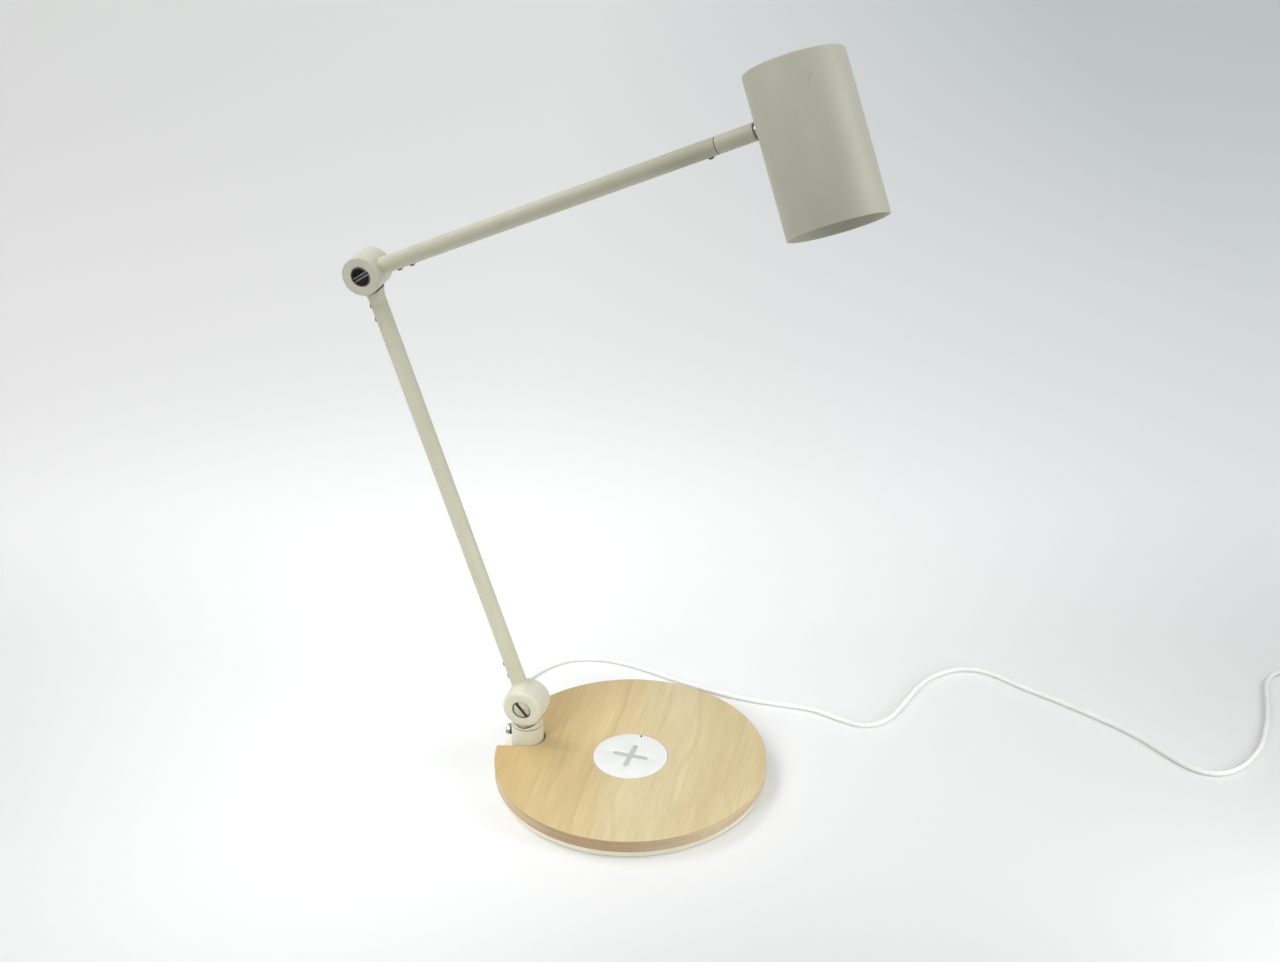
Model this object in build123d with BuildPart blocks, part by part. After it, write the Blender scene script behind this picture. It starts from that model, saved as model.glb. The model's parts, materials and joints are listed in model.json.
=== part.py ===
from build123d import *

import math
import os

os.makedirs("parts", exist_ok=True)

# Driving dimensions in millimetres, angles in degrees.
# The origin is on the table under the middle of the round base, with the post towards -X.

# Base
base_diameter = 197.0
wood_thickness = 9.0
wood_edge_round = 1.0
plate_inset = 1.5
plate_thickness = 5.4
plate_edge_round = 0.8
sole_inset = 5.5
sole_thickness = 0.6
base_screw_inset = 28.0
base_screw_shank = 3.5
base_screw_head = 7.0
base_screw_bite = 6.0

# Charging pad let into the wood
pad_diameter = 54.0
pad_gap = 0.3
cover_thickness = 1.6
cross_length = 26.0
cross_width = 3.4
cross_depth = 0.6
cross_rise = 0.3
light_diameter = 2.0
light_inset = 1.5
housing_wall = 1.5
housing_floor = 1.2
board_seat_height = 1.0
board_seat_width = 5.5
board_thickness = 1.2
ferrite_seat_height = 3.2
ferrite_seat_width = 2.5
ferrite_thickness = 1.0
charge_coil_inner = 20.0
charge_coil_outer = 42.0
charge_coil_thickness = 1.2
charger_screw_spacing = 30.0
charger_boss_diameter = 6.0

# Post
post_inset = 19.2
post_diameter = 23.4
notch_gap = 1.3
socket_height = 21.6
socket_floor = 5.0
spigot_diameter = 14.0
spigot_foot_gap = 0.5
swivel_gap = 0.6
swivel_washer_width = 3.2
saddle_web = 1.9
saddle_tongue_width = 9.0
socket_screw_circle = 18.8
socket_screw_shank = 3.0
socket_screw_head = 5.6
socket_screw_bite = 8.0
lock_screw_height = 13.0
lock_screw_shank = 4.0
lock_screw_tip = 3.2
lock_screw_head = 7.6
lock_screw_head_length = 3.4
lock_screw_stand_off = 0.9
lock_screw_socket = 4.0
stop_groove_depth = 1.5
stop_arc = 320.0

# Hinge barrels: the shoulder's is larger and rounder than the elbow's
shoulder_barrel_diameter = 30.0
shoulder_barrel_round = 3.0
elbow_barrel_diameter = 27.0
elbow_barrel_round = 0.8
barrel_length = 22.2
cradle_gap = 0.5
tongue_thickness = 6.0
tongue_eye_diameter = 19.0
tongue_pocket_gap = 0.6
friction_washer_thickness = 0.8
friction_washer_diameter = 17.0
bolt_shank = 6.0
bolt_head_diameter = 14.0
bolt_head_thickness = 3.0
bolt_recess = 0.5
bolt_slot_width = 2.0
bolt_slot_depth = 1.3
shoulder_slot_angle = -52.0
elbow_slot_angle = 24.0

# Arms
lower_arm_length = 341.0
lower_lean = 17.4
upper_arm_length = 325.5
upper_rise = 24.8
tube_diameter = 11.5
tube_wall = 1.0
stem_reach = 40.0
tube_screw_first = 24.0
tube_screw_step = 10.0
tube_screw_head = 4.4
tube_screw_head_height = 1.3
tube_screw_shank = 2.5
tube_screw_bite = 1.9
elbow_saddle_reach = 20.5
elbow_saddle_flare = 15.4
elbow_tongue_width = 9.0
wire_bore = 4.0
lead_diameter = 3.0

# Joint ranges that shape the slots in the barrels
shoulder_back = 32.0
shoulder_forward = 34.0
elbow_open = 72.0
elbow_fold = 8.0
slot_margin = 1.5
slot_side_gap = 0.4
tongue_angle = -90.0

# Head
head_roll = 21.5
bushing_seam = 60.5
neck_gap = 1.8
neck_diameter = 6.5
neck_collar = 9.0
bushing_neck_depth = 14.0
bushing_spigot_length = 20.0
head_screw_inset = 6.8
head_screw_tip = 2.0
head_groove_depth = 1.2
shade_diameter = 64.0
shade_length = 102.0
shade_wall = 1.2
shade_top = 1.5
shade_top_round = 1.2
shade_above_arm = 31.3
carrier_drop = 27.0
carrier_thickness = 4.0
carrier_strap_thickness = 2.5
carrier_strap_width = 16.0
carrier_strap_rise = 9.0
neck_nut_width = 11.0
neck_nut_thickness = 3.5
light_board_diameter = 40.0
light_board_thickness = 1.6
chip_size = 3.5
chip_height = 0.9
chip_circle = 22.0
chip_count = 8
light_screw_spacing = 33.0
light_screw_shank = 2.5
light_screw_head = 4.5
light_screw_head_height = 1.2
light_screw_bite = 3.0
reflector_wall = 1.0
reflector_depth = 16.0
reflector_lip = 2.0
diffuser_thickness = 2.0
ring_height = 2.5
ring_width = 2.5

# Push switch in the top of the shade
button_diameter = 12.0
button_rise = 1.0
button_travel = 1.5
button_flange_width = 1.8
button_flange_thickness = 1.2
button_stem_diameter = 5.0
button_stem_length = 2.0
button_play = 0.2
switch_gap = 0.3
switch_size = 6.0
switch_height = 4.0
switch_plunger = 3.4
switch_plunger_height = 1.0
switch_board_length = 44.0
switch_board_width = 20.0
switch_board_thickness = 1.6
switch_boss_spacing = 34.0
switch_boss_diameter = 6.0
switch_screw_shank = 2.5
switch_screw_head = 4.5
switch_screw_head_height = 1.2
switch_screw_bite = 5.0

# Cord and power adapter
cord_diameter = 4.0
cord_exit_angle = 150.0
grommet_width = 8.0
grommet_height = 5.2
grommet_length = 13.0
nose_length = 9.0
nose_root_diameter = 7.0
nose_tip_diameter = 5.0
cord_first_run = 8.0
cord_bend_share = 0.45
coil_start_x = 498.0
coil_start_y = 281.5
coil_outer_radius = 31.3
coil_pitch = 5.3
coil_layer_step = 5.0
coil_turns_in = 2.75
coil_climb_turns = 0.5
coil_lead_length = 38.0
adapter_length = 62.0
adapter_width = 42.0
adapter_height = 30.0
adapter_round = 4.0
relief_length = 20.0
relief_diameter = 7.0
relief_tip_diameter = 5.4
pin_diameter = 4.0
pin_length = 19.0
pin_spacing = 19.0

# Clearances
running_gap = 0.05
seat_gap = 0.1
screw_gap = 0.05

# Base pieces that follow the wood disc
plate_diameter = base_diameter - 2 * plate_inset
sole_diameter = plate_diameter - 2 * sole_inset
base_screw_circle = base_diameter - 2 * base_screw_inset
post_offset = base_diameter / 2 - post_inset

# Heights above the table
plate_bottom = sole_thickness
plate_top = plate_bottom + plate_thickness
wood_top = plate_top + wood_thickness
socket_top = plate_top + socket_height
saddle_bottom = socket_top + swivel_gap
shoulder_barrel_radius = shoulder_barrel_diameter / 2
shoulder_cradle_radius = shoulder_barrel_radius + cradle_gap
shoulder_height = saddle_bottom + saddle_web + shoulder_cradle_radius
lock_height = plate_top + lock_screw_height

# Radii that several pieces share
elbow_barrel_radius = elbow_barrel_diameter / 2
elbow_cradle_radius = elbow_barrel_radius + cradle_gap
base_radius = base_diameter / 2
post_radius = post_diameter / 2
spigot_radius = spigot_diameter / 2
tube_radius = tube_diameter / 2
tube_bore_radius = tube_radius - tube_wall
stem_radius = tube_bore_radius - running_gap
shade_radius = shade_diameter / 2
shade_bore_radius = shade_radius - shade_wall
tongue_eye_radius = tongue_eye_diameter / 2
pocket_radius = tongue_eye_radius + tongue_pocket_gap
slot_width = tongue_thickness + 2 * (friction_washer_thickness + seat_gap)

# Directions of the arms and the head in the resting pose
lean = math.radians(lower_lean)
rise = math.radians(upper_rise)
roll = math.radians(head_roll)
shoulder = Vector(-post_offset, 0, shoulder_height)
lower_direction = Vector(-math.sin(lean), 0, math.cos(lean))
lower_side = Vector(-math.cos(lean), 0, -math.sin(lean))
elbow = shoulder + lower_direction * lower_arm_length
upper_direction = Vector(math.cos(rise), 0, math.sin(rise))
upper_side = Vector(math.sin(rise), 0, -math.cos(rise))
head_center = elbow + upper_direction * upper_arm_length
head_up = Vector(0, math.sin(roll), 0) - upper_side * math.cos(roll)

# Planes in which the pieces are drawn
post_plane = Plane(origin=(-post_offset, 0, 0))
shoulder_hinge_plane = Plane(origin=shoulder, x_dir=(1, 0, 0), z_dir=(0, -1, 0))
elbow_hinge_plane = Plane(origin=elbow, x_dir=(1, 0, 0), z_dir=(0, -1, 0))
lower_arm_plane = Plane(origin=shoulder, x_dir=lower_side, z_dir=lower_direction)
elbow_saddle_plane = Plane(origin=elbow, x_dir=lower_side, z_dir=-lower_direction)
upper_arm_plane = Plane(origin=elbow, x_dir=upper_side, z_dir=upper_direction)
head_plane = Plane(origin=head_center, x_dir=-upper_direction, z_dir=head_up)
arm_end_plane = Plane(origin=head_center, x_dir=-head_up, z_dir=-upper_direction)

on_floor = (Align.CENTER, Align.CENTER, Align.MIN)
hung = (Align.CENTER, Align.CENTER, Align.MAX)
across = (90, 0, 0)


def save(piece, name):
    """Label a finished piece and write it to its own file."""
    piece.part.label = name
    export_step(piece.part, f"parts/{name}.step")


def local_cylinder(radius, low, high, mode=Mode.ADD):
    """Cylinder along the working plane's normal, between two heights."""
    with Locations((0, 0, low)):
        Cylinder(radius, high - low, align=on_floor, mode=mode)


def swept_slot(plane, reach, neck_width, low, high):
    """Room that a hinge tongue sweeps inside its barrel between two directions."""
    half_angle = math.radians((high - low) / 2)
    middle = (high + low) / 2
    with BuildSketch(plane) as swept:
        Circle(pocket_radius)
        for angle in (low, high):
            with Locations(Location((0, 0, 0), (0, 0, angle))):
                Rectangle(reach, neck_width + 2 * slot_side_gap, align=(Align.MIN, Align.CENTER))
        with BuildLine():
            corner = PolarLine((0, 0), reach / math.cos(half_angle), low)
            other = PolarLine((0, 0), reach / math.cos(half_angle), high)
            peak = PolarLine((0, 0), reach / math.cos(half_angle), middle, mode=Mode.PRIVATE) @ 1
            Polyline(corner @ 1, peak, other @ 1)
        make_face()
    return swept.sketch


def countersunk_screw(top, length, shank, head):
    """Screw that points up from a flush countersunk head at the given height."""
    head_depth = (head - shank) / 2
    with Locations((0, 0, top)):
        Cone(head / 2, shank / 2, head_depth, align=on_floor)
        Cylinder(shank / 2, length, align=on_floor)


def countersunk_hole(bottom, depth, shank, head):
    """Hole through a plate for such a screw, with the same gap all round."""
    head_depth = (head - shank) / 2
    with Locations((0, 0, bottom)):
        Cone(
            head / 2 + screw_gap,
            shank / 2 + screw_gap,
            head_depth,
            align=on_floor,
            mode=Mode.SUBTRACT,
        )
        Cylinder(shank / 2 + screw_gap, depth, align=on_floor, mode=Mode.SUBTRACT)


# Rubber sole, the flat face that the lamp rests on.
with BuildPart() as base_sole:
    Cylinder(sole_diameter / 2, sole_thickness, align=on_floor)
save(base_sole, "base_sole")

# Steel under-base plate: the weight of the lamp, drilled from below for every screw.
base_screw_angles = (-120, -60, 0, 60, 120)
socket_screw_angles = (0, 120, 240)
with BuildPart() as base_plate:
    local_cylinder(plate_diameter / 2, plate_bottom, plate_top)
    fillet(base_plate.edges().group_by(Axis.Z)[0], plate_edge_round)
    for angle in base_screw_angles:
        with PolarLocations(base_screw_circle / 2, 1, start_angle=angle):
            countersunk_hole(plate_bottom, plate_thickness, base_screw_shank, base_screw_head)
    for angle in socket_screw_angles:
        with Locations((-post_offset, 0, 0)):
            with PolarLocations(socket_screw_circle / 2, 1, start_angle=angle):
                countersunk_hole(plate_bottom, plate_thickness, socket_screw_shank, socket_screw_head)
    with GridLocations(charger_screw_spacing, 0, 2, 1):
        countersunk_hole(plate_bottom, plate_thickness, socket_screw_shank, socket_screw_head)
save(base_plate, "base_plate")

# Wood disc: open notch for the post, round hole for the charging pad and a cord channel below.
with BuildPart() as wood_disc:
    local_cylinder(base_radius, plate_top, wood_top)
    with BuildSketch(Plane.XY.offset(plate_top)):
        with Locations((-post_offset, 0)):
            Circle(post_radius + notch_gap)
            Rectangle(
                base_radius,
                post_diameter + 2 * notch_gap,
                align=(Align.MAX, Align.CENTER),
            )
        Circle(pad_diameter / 2 + pad_gap)
    extrude(amount=wood_thickness, mode=Mode.SUBTRACT)
    fillet(wood_disc.faces().sort_by(Axis.Z)[-1].outer_wire().edges(), wood_edge_round)
    with Locations(Location((0, 0, plate_top), (0, 0, cord_exit_angle))):
        Box(
            base_diameter,
            grommet_width + 2 * seat_gap,
            grommet_height + seat_gap,
            align=(Align.MIN, Align.CENTER, Align.MIN),
            mode=Mode.SUBTRACT,
        )
    for angle in base_screw_angles:
        with PolarLocations(base_screw_circle / 2, 1, start_angle=angle):
            local_cylinder(
                base_screw_shank / 2 + screw_gap,
                plate_top,
                plate_top + base_screw_bite + seat_gap,
                Mode.SUBTRACT,
            )
save(wood_disc, "wood_disc")

# Five countersunk screws hold the wood to the plate.
with BuildPart() as base_screws:
    for angle in base_screw_angles:
        with PolarLocations(base_screw_circle / 2, 1, start_angle=angle):
            countersunk_screw(
                plate_bottom,
                plate_thickness + base_screw_bite,
                base_screw_shank,
                base_screw_head,
            )
save(base_screws, "base_screws")

# Charger housing: a stepped cup that stands on the plate inside the wood's hole.
housing_bore_radius = pad_diameter / 2 - housing_wall
housing_top = wood_top - cover_thickness
board_level = plate_top + housing_floor + board_seat_height
ferrite_level = plate_top + housing_floor + ferrite_seat_height
board_seat_radius = housing_bore_radius - board_seat_width
ferrite_seat_radius = housing_bore_radius - ferrite_seat_width
with BuildPart() as charger_housing:
    local_cylinder(pad_diameter / 2, plate_top, housing_top)
    local_cylinder(board_seat_radius, plate_top + housing_floor, housing_top, Mode.SUBTRACT)
    local_cylinder(ferrite_seat_radius, board_level, housing_top, Mode.SUBTRACT)
    local_cylinder(housing_bore_radius, ferrite_level, housing_top, Mode.SUBTRACT)
    with GridLocations(charger_screw_spacing, 0, 2, 1):
        local_cylinder(charger_boss_diameter / 2, plate_top, board_level)
        local_cylinder(
            socket_screw_shank / 2 + screw_gap,
            plate_top,
            board_level,
            Mode.SUBTRACT,
        )
save(charger_housing, "charger_housing")

# Charger board on its seat, cut back from the ferrite's seat.
with BuildPart() as charger_board:
    local_cylinder(ferrite_seat_radius - seat_gap, board_level, board_level + board_thickness)
save(charger_board, "charger_board")

# Ferrite disc under the charging coil.
with BuildPart() as charger_ferrite:
    local_cylinder(
        housing_bore_radius - seat_gap,
        ferrite_level,
        ferrite_level + ferrite_thickness,
    )
save(charger_ferrite, "charger_ferrite")

# Flat charging coil on the ferrite.
charge_coil_level = ferrite_level + ferrite_thickness
with BuildPart() as charger_coil:
    local_cylinder(charge_coil_outer / 2, charge_coil_level, charge_coil_level + charge_coil_thickness)
    local_cylinder(
        charge_coil_inner / 2,
        charge_coil_level,
        charge_coil_level + charge_coil_thickness,
        Mode.SUBTRACT,
    )
save(charger_coil, "charger_coil")

# Two screws hold the charger to the plate.
with BuildPart() as charger_screws:
    with GridLocations(charger_screw_spacing, 0, 2, 1):
        countersunk_screw(
            plate_bottom,
            plate_thickness + housing_floor,
            socket_screw_shank,
            socket_screw_head,
        )
save(charger_screws, "charger_screws")


def cross_outline(gap):
    """Plus sign with round ends, grown by a gap for its pocket."""
    for angle in (0, 90):
        SlotOverall(cross_length + 2 * gap, cross_width + 2 * gap, rotation=angle)


# White cover, flush with the wood, with a pocket for the plus sign and a hole for the light.
light_offset = pad_diameter / 2 - light_inset
with BuildPart() as charger_cover:
    local_cylinder(pad_diameter / 2, housing_top, wood_top)
    with BuildSketch(Plane.XY.offset(wood_top)):
        cross_outline(screw_gap)
    extrude(amount=-cross_depth, mode=Mode.SUBTRACT)
    with Locations((0, light_offset, 0)):
        local_cylinder(light_diameter / 2 + screw_gap, housing_top, wood_top, Mode.SUBTRACT)
save(charger_cover, "charger_cover")

# Soft plus sign that keeps a phone from sliding.
with BuildPart() as charger_cross:
    with BuildSketch(Plane.XY.offset(wood_top - cross_depth)):
        cross_outline(0)
    extrude(amount=cross_depth + cross_rise)
save(charger_cross, "charger_cross")

# Charging light at the cover's back edge.
with BuildPart() as charge_light:
    with Locations((0, light_offset, 0)):
        local_cylinder(light_diameter / 2, housing_top, wood_top)
save(charge_light, "charge_light")

# Fixed socket of the post, bored for the turning spigot and tapped for its lock screw.
with BuildPart(post_plane) as post_socket:
    local_cylinder(post_radius, plate_top, socket_top)
    chamfer(post_socket.edges().group_by(Axis.Z)[-1], plate_edge_round / 2)
    local_cylinder(spigot_radius + running_gap, plate_top + socket_floor, socket_top, Mode.SUBTRACT)
    local_cylinder(wire_bore / 2, plate_top, plate_top + socket_floor, Mode.SUBTRACT)
    for angle in socket_screw_angles:
        with PolarLocations(socket_screw_circle / 2, 1, start_angle=angle):
            local_cylinder(
                socket_screw_shank / 2 + screw_gap,
                plate_top,
                plate_top + socket_screw_bite + seat_gap,
                Mode.SUBTRACT,
            )
    with Locations((0, 0, lock_height)):
        Cylinder(
            lock_screw_shank / 2 + screw_gap,
            post_diameter,
            rotation=(0, -90, 0),
            align=on_floor,
            mode=Mode.SUBTRACT,
        )
save(post_socket, "post_socket")

# Three screws hold the socket from below the plate.
with BuildPart(post_plane) as socket_screws:
    for angle in socket_screw_angles:
        with PolarLocations(socket_screw_circle / 2, 1, start_angle=angle):
            countersunk_screw(
                plate_bottom,
                plate_thickness + socket_screw_bite,
                socket_screw_shank,
                socket_screw_head,
            )
save(socket_screws, "socket_screws")

# Chrome cap screw: its tip runs in the spigot's groove, keeps it in and stops its turn.
lock_tip_radius = spigot_radius - stop_groove_depth + running_gap
lock_head_inner = post_radius + lock_screw_stand_off
lock_plane = Plane(origin=(-post_offset, 0, lock_height), x_dir=(0, 1, 0), z_dir=(-1, 0, 0))
with BuildPart(lock_plane) as lock_screw:
    local_cylinder(lock_screw_tip / 2, lock_tip_radius, spigot_radius + 2 * running_gap)
    local_cylinder(lock_screw_shank / 2, spigot_radius + 2 * running_gap, lock_head_inner)
    local_cylinder(lock_screw_head / 2, lock_head_inner, lock_head_inner + lock_screw_head_length)
    chamfer(lock_screw.edges().group_by(Axis.X)[0], plate_edge_round / 2)
    with BuildSketch(lock_plane.offset(lock_head_inner + lock_screw_head_length)):
        RegularPolygon(lock_screw_socket / 2, 6, major_radius=False)
    extrude(amount=-lock_screw_head_length / 2, mode=Mode.SUBTRACT)
save(lock_screw, "lock_screw")

# Thin washer in the seam between the socket and the saddle.
with BuildPart(post_plane) as swivel_washer:
    local_cylinder(
        spigot_radius + seat_gap + swivel_washer_width,
        socket_top,
        saddle_bottom - seat_gap,
    )
    local_cylinder(spigot_radius + seat_gap, socket_top, saddle_bottom, Mode.SUBTRACT)
save(swivel_washer, "swivel_washer")

# Turning saddle: spigot below, cup for the barrel above and a tongue up to the hinge bolt.
spigot_foot = plate_top + socket_floor + spigot_foot_gap
stop_lug = math.radians(360 - stop_arc) / 2
stop_plane = Plane(
    origin=(-post_offset, 0, lock_height),
    x_dir=(math.cos(stop_lug), math.sin(stop_lug), 0),
    z_dir=(math.sin(stop_lug), -math.cos(stop_lug), 0),
)
with BuildPart(post_plane) as post_saddle:
    local_cylinder(post_radius, saddle_bottom, shoulder_height - shoulder_cradle_radius / 2)
    local_cylinder(spigot_radius, spigot_foot, saddle_bottom)
    with Locations((0, 0, shoulder_height)):
        Cylinder(shoulder_cradle_radius, 2 * post_diameter, rotation=across, mode=Mode.SUBTRACT)
    with BuildSketch(shoulder_hinge_plane):
        Circle(tongue_eye_radius)
        Rectangle(
            saddle_tongue_width,
            shoulder_cradle_radius + saddle_web / 2,
            align=(Align.CENTER, Align.MAX),
        )
    extrude(amount=tongue_thickness / 2, both=True)
    with Locations((0, 0, shoulder_height)):
        Cylinder(bolt_shank / 2 + running_gap, post_diameter, rotation=across, mode=Mode.SUBTRACT)
    with BuildSketch(stop_plane):
        with Locations((spigot_radius, 0)):
            Rectangle(2 * stop_groove_depth, lock_screw_tip + 2 * seat_gap)
    revolve(
        axis=Axis((-post_offset, 0, 0), (0, 0, 1)),
        revolution_arc=stop_arc,
        mode=Mode.SUBTRACT,
    )
save(post_saddle, "post_saddle")


def barrel_body(slot, radius, edge_round):
    """Hinge barrel with its stem, tongue slot, bolt hole, head recesses and screw holes."""
    Cylinder(radius, barrel_length, rotation=across)
    fillet(edges().filter_by(GeomType.CIRCLE), edge_round)
    local_cylinder(stem_radius, 0, stem_reach)
    extrude(slot, amount=slot_width / 2, both=True, mode=Mode.SUBTRACT)
    Cylinder(bolt_shank / 2 + screw_gap, barrel_length, rotation=across, mode=Mode.SUBTRACT)
    recess_depth = bolt_recess + bolt_head_thickness
    for side in (-1, 1):
        with Locations((0, side * (barrel_length - recess_depth) / 2, 0)):
            Cylinder(
                bolt_head_diameter / 2 + seat_gap,
                recess_depth,
                rotation=across,
                mode=Mode.SUBTRACT,
            )
    local_cylinder(wire_bore / 2, 0, stem_reach, Mode.SUBTRACT)
    screw_holes(tube_screw_places)


def screw_holes(places):
    """Holes for the small tube screws, from the axis out through the screw side."""
    for place in places:
        with Locations(Location((0, 0, place), (0, 90, 0))):
            Cylinder(
                tube_screw_shank / 2 + screw_gap,
                tube_diameter,
                align=on_floor,
                mode=Mode.SUBTRACT,
            )


def tube_screw(place):
    """Small round-headed screw through the tube wall into the stem."""
    length = tube_wall + tube_screw_bite
    rim = tube_screw_head_height / 2
    with Locations(Location((tube_radius, 0, place), (0, 90, 0))):
        Cylinder(tube_screw_shank / 2, length, align=hung)
        Cylinder(tube_screw_head / 2, rim, align=on_floor)
        with Locations((0, 0, rim)):
            Cone(tube_screw_head / 2, tube_screw_head / 4, rim, align=on_floor)


def hinge_bolt(slot_angle):
    """Bolt with a slotted head that sits back in the barrel's front face."""
    face = barrel_length / 2 - bolt_recess
    local_cylinder(bolt_shank / 2, -face, face)
    local_cylinder(bolt_head_diameter / 2, face - bolt_head_thickness, face)
    with Locations(Location((0, 0, face), (0, 0, slot_angle))):
        Box(2 * bolt_head_diameter, bolt_slot_width, bolt_slot_depth, align=hung, mode=Mode.SUBTRACT)


def hinge_nut():
    """Round slotted nut in the barrel's back face."""
    face = barrel_length / 2 - bolt_recess
    local_cylinder(bolt_head_diameter / 2, -face, bolt_head_thickness - face)
    local_cylinder(bolt_shank / 2 + screw_gap, -face, bolt_head_thickness - face, Mode.SUBTRACT)
    with Locations((0, 0, -face)):
        Box(2 * bolt_head_diameter, bolt_slot_width, bolt_slot_depth, align=on_floor, mode=Mode.SUBTRACT)


def friction_washers():
    """Two washers between the barrel's cheeks and the tongue."""
    inner = tongue_thickness / 2 + seat_gap
    for low, high in ((inner, slot_width / 2), (-slot_width / 2, -inner)):
        local_cylinder(friction_washer_diameter / 2, low, high)
        local_cylinder(bolt_shank / 2 + seat_gap, low, high, Mode.SUBTRACT)


tube_screw_places = (tube_screw_first, tube_screw_first + tube_screw_step)

# Shoulder barrel: it turns with the lower arm on the saddle's tongue.
shoulder_slot = swept_slot(
    shoulder_hinge_plane,
    shoulder_barrel_diameter,
    saddle_tongue_width,
    tongue_angle - shoulder_back - slot_margin,
    tongue_angle + shoulder_forward + slot_margin,
)
with BuildPart(lower_arm_plane) as shoulder_barrel:
    barrel_body(shoulder_slot, shoulder_barrel_radius, shoulder_barrel_round)
save(shoulder_barrel, "shoulder_barrel")

with BuildPart(shoulder_hinge_plane) as shoulder_bolt:
    hinge_bolt(shoulder_slot_angle)
save(shoulder_bolt, "shoulder_bolt")

with BuildPart(shoulder_hinge_plane) as shoulder_nut:
    hinge_nut()
save(shoulder_nut, "shoulder_nut")

with BuildPart(shoulder_hinge_plane) as shoulder_washers:
    friction_washers()
save(shoulder_washers, "shoulder_washers")

# Lower tube: saddle-cut onto the shoulder barrel, square at the elbow saddle.
lower_screw_places = (
    *tube_screw_places,
    *(lower_arm_length - place for place in tube_screw_places),
)
with BuildPart(lower_arm_plane) as lower_tube:
    local_cylinder(tube_radius, 0, lower_arm_length - elbow_saddle_reach)
    local_cylinder(tube_bore_radius, 0, lower_arm_length - elbow_saddle_reach, Mode.SUBTRACT)
    Cylinder(shoulder_barrel_radius + seat_gap, barrel_length, rotation=across, mode=Mode.SUBTRACT)
    screw_holes(lower_screw_places)
save(lower_tube, "lower_tube")

with BuildPart(lower_arm_plane) as lower_tube_screws:
    for place in lower_screw_places:
        tube_screw(place)
save(lower_tube_screws, "lower_tube_screws")

# Lead inside the lower tube, held in the bores of the two stems.
with BuildPart(lower_arm_plane) as lower_lead:
    local_cylinder(
        lead_diameter / 2,
        stem_reach - tube_screw_step / 2,
        lower_arm_length - stem_reach + tube_screw_step / 2,
    )
save(lower_lead, "lower_lead")

# Elbow saddle: flared cup on the lower tube, with a stem inside it and a tongue up to the bolt.
flare_radius = elbow_saddle_flare / 2
flare_level = math.sqrt(elbow_cradle_radius**2 - flare_radius**2)
with BuildPart(elbow_saddle_plane) as elbow_saddle:
    with Locations((0, 0, flare_level)):
        Cone(flare_radius, tube_radius, elbow_saddle_reach - flare_level, align=on_floor)
    local_cylinder(stem_radius, elbow_saddle_reach, stem_reach)
    Cylinder(elbow_cradle_radius, 2 * elbow_saddle_flare, rotation=across, mode=Mode.SUBTRACT)
    with BuildSketch(elbow_hinge_plane):
        Circle(tongue_eye_radius)
        with Locations(Location((0, 0, 0), (0, 0, tongue_angle + lower_lean))):
            Rectangle(
                (elbow_cradle_radius + elbow_saddle_reach) / 2,
                elbow_tongue_width,
                align=(Align.MIN, Align.CENTER),
            )
    extrude(amount=tongue_thickness / 2, both=True)
    Cylinder(bolt_shank / 2 + running_gap, barrel_length, rotation=across, mode=Mode.SUBTRACT)
    local_cylinder(wire_bore / 2, elbow_cradle_radius, stem_reach, Mode.SUBTRACT)
    screw_holes(tube_screw_places)
save(elbow_saddle, "elbow_saddle")

# Elbow barrel: it turns with the upper arm on the elbow saddle's tongue.
elbow_slot = swept_slot(
    elbow_hinge_plane,
    elbow_barrel_diameter,
    elbow_tongue_width,
    tongue_angle + lower_lean - elbow_open - slot_margin,
    tongue_angle + lower_lean + elbow_fold + slot_margin,
)
with BuildPart(upper_arm_plane) as elbow_barrel:
    barrel_body(elbow_slot, elbow_barrel_radius, elbow_barrel_round)
save(elbow_barrel, "elbow_barrel")

with BuildPart(elbow_hinge_plane) as elbow_bolt:
    hinge_bolt(elbow_slot_angle)
save(elbow_bolt, "elbow_bolt")

with BuildPart(elbow_hinge_plane) as elbow_nut:
    hinge_nut()
save(elbow_nut, "elbow_nut")

with BuildPart(elbow_hinge_plane) as elbow_washers:
    friction_washers()
save(elbow_washers, "elbow_washers")

# Upper tube: saddle-cut onto the elbow barrel, square at the seam with the head's bushing.
upper_tube_end = upper_arm_length - bushing_seam - seat_gap
head_screw_place = upper_arm_length - bushing_seam - head_screw_inset
with BuildPart(upper_arm_plane) as upper_tube:
    local_cylinder(tube_radius, 0, upper_tube_end)
    local_cylinder(tube_bore_radius, 0, upper_tube_end, Mode.SUBTRACT)
    Cylinder(elbow_barrel_radius + seat_gap, barrel_length, rotation=across, mode=Mode.SUBTRACT)
    screw_holes((*tube_screw_places, head_screw_place))
save(upper_tube, "upper_tube")

with BuildPart(upper_arm_plane) as upper_tube_screws:
    for place in tube_screw_places:
        tube_screw(place)
save(upper_tube_screws, "upper_tube_screws")

# Screw at the tube's far end: its tip runs in the bushing's groove.
head_tip_radius = stem_radius - head_groove_depth + seat_gap
with BuildPart(upper_arm_plane) as head_lock_screw:
    with Locations(Location((tube_radius, 0, head_screw_place), (0, 90, 0))):
        Cylinder(tube_screw_shank / 2, tube_wall, align=hung)
        Cylinder(head_screw_tip / 2, tube_radius - head_tip_radius, align=hung)
        Cylinder(tube_screw_head / 2, tube_screw_head_height / 2, align=on_floor)
        with Locations((0, 0, tube_screw_head_height / 2)):
            Cone(
                tube_screw_head / 2,
                tube_screw_head / 4,
                tube_screw_head_height / 2,
                align=on_floor,
            )
save(head_lock_screw, "head_lock_screw")

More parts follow.
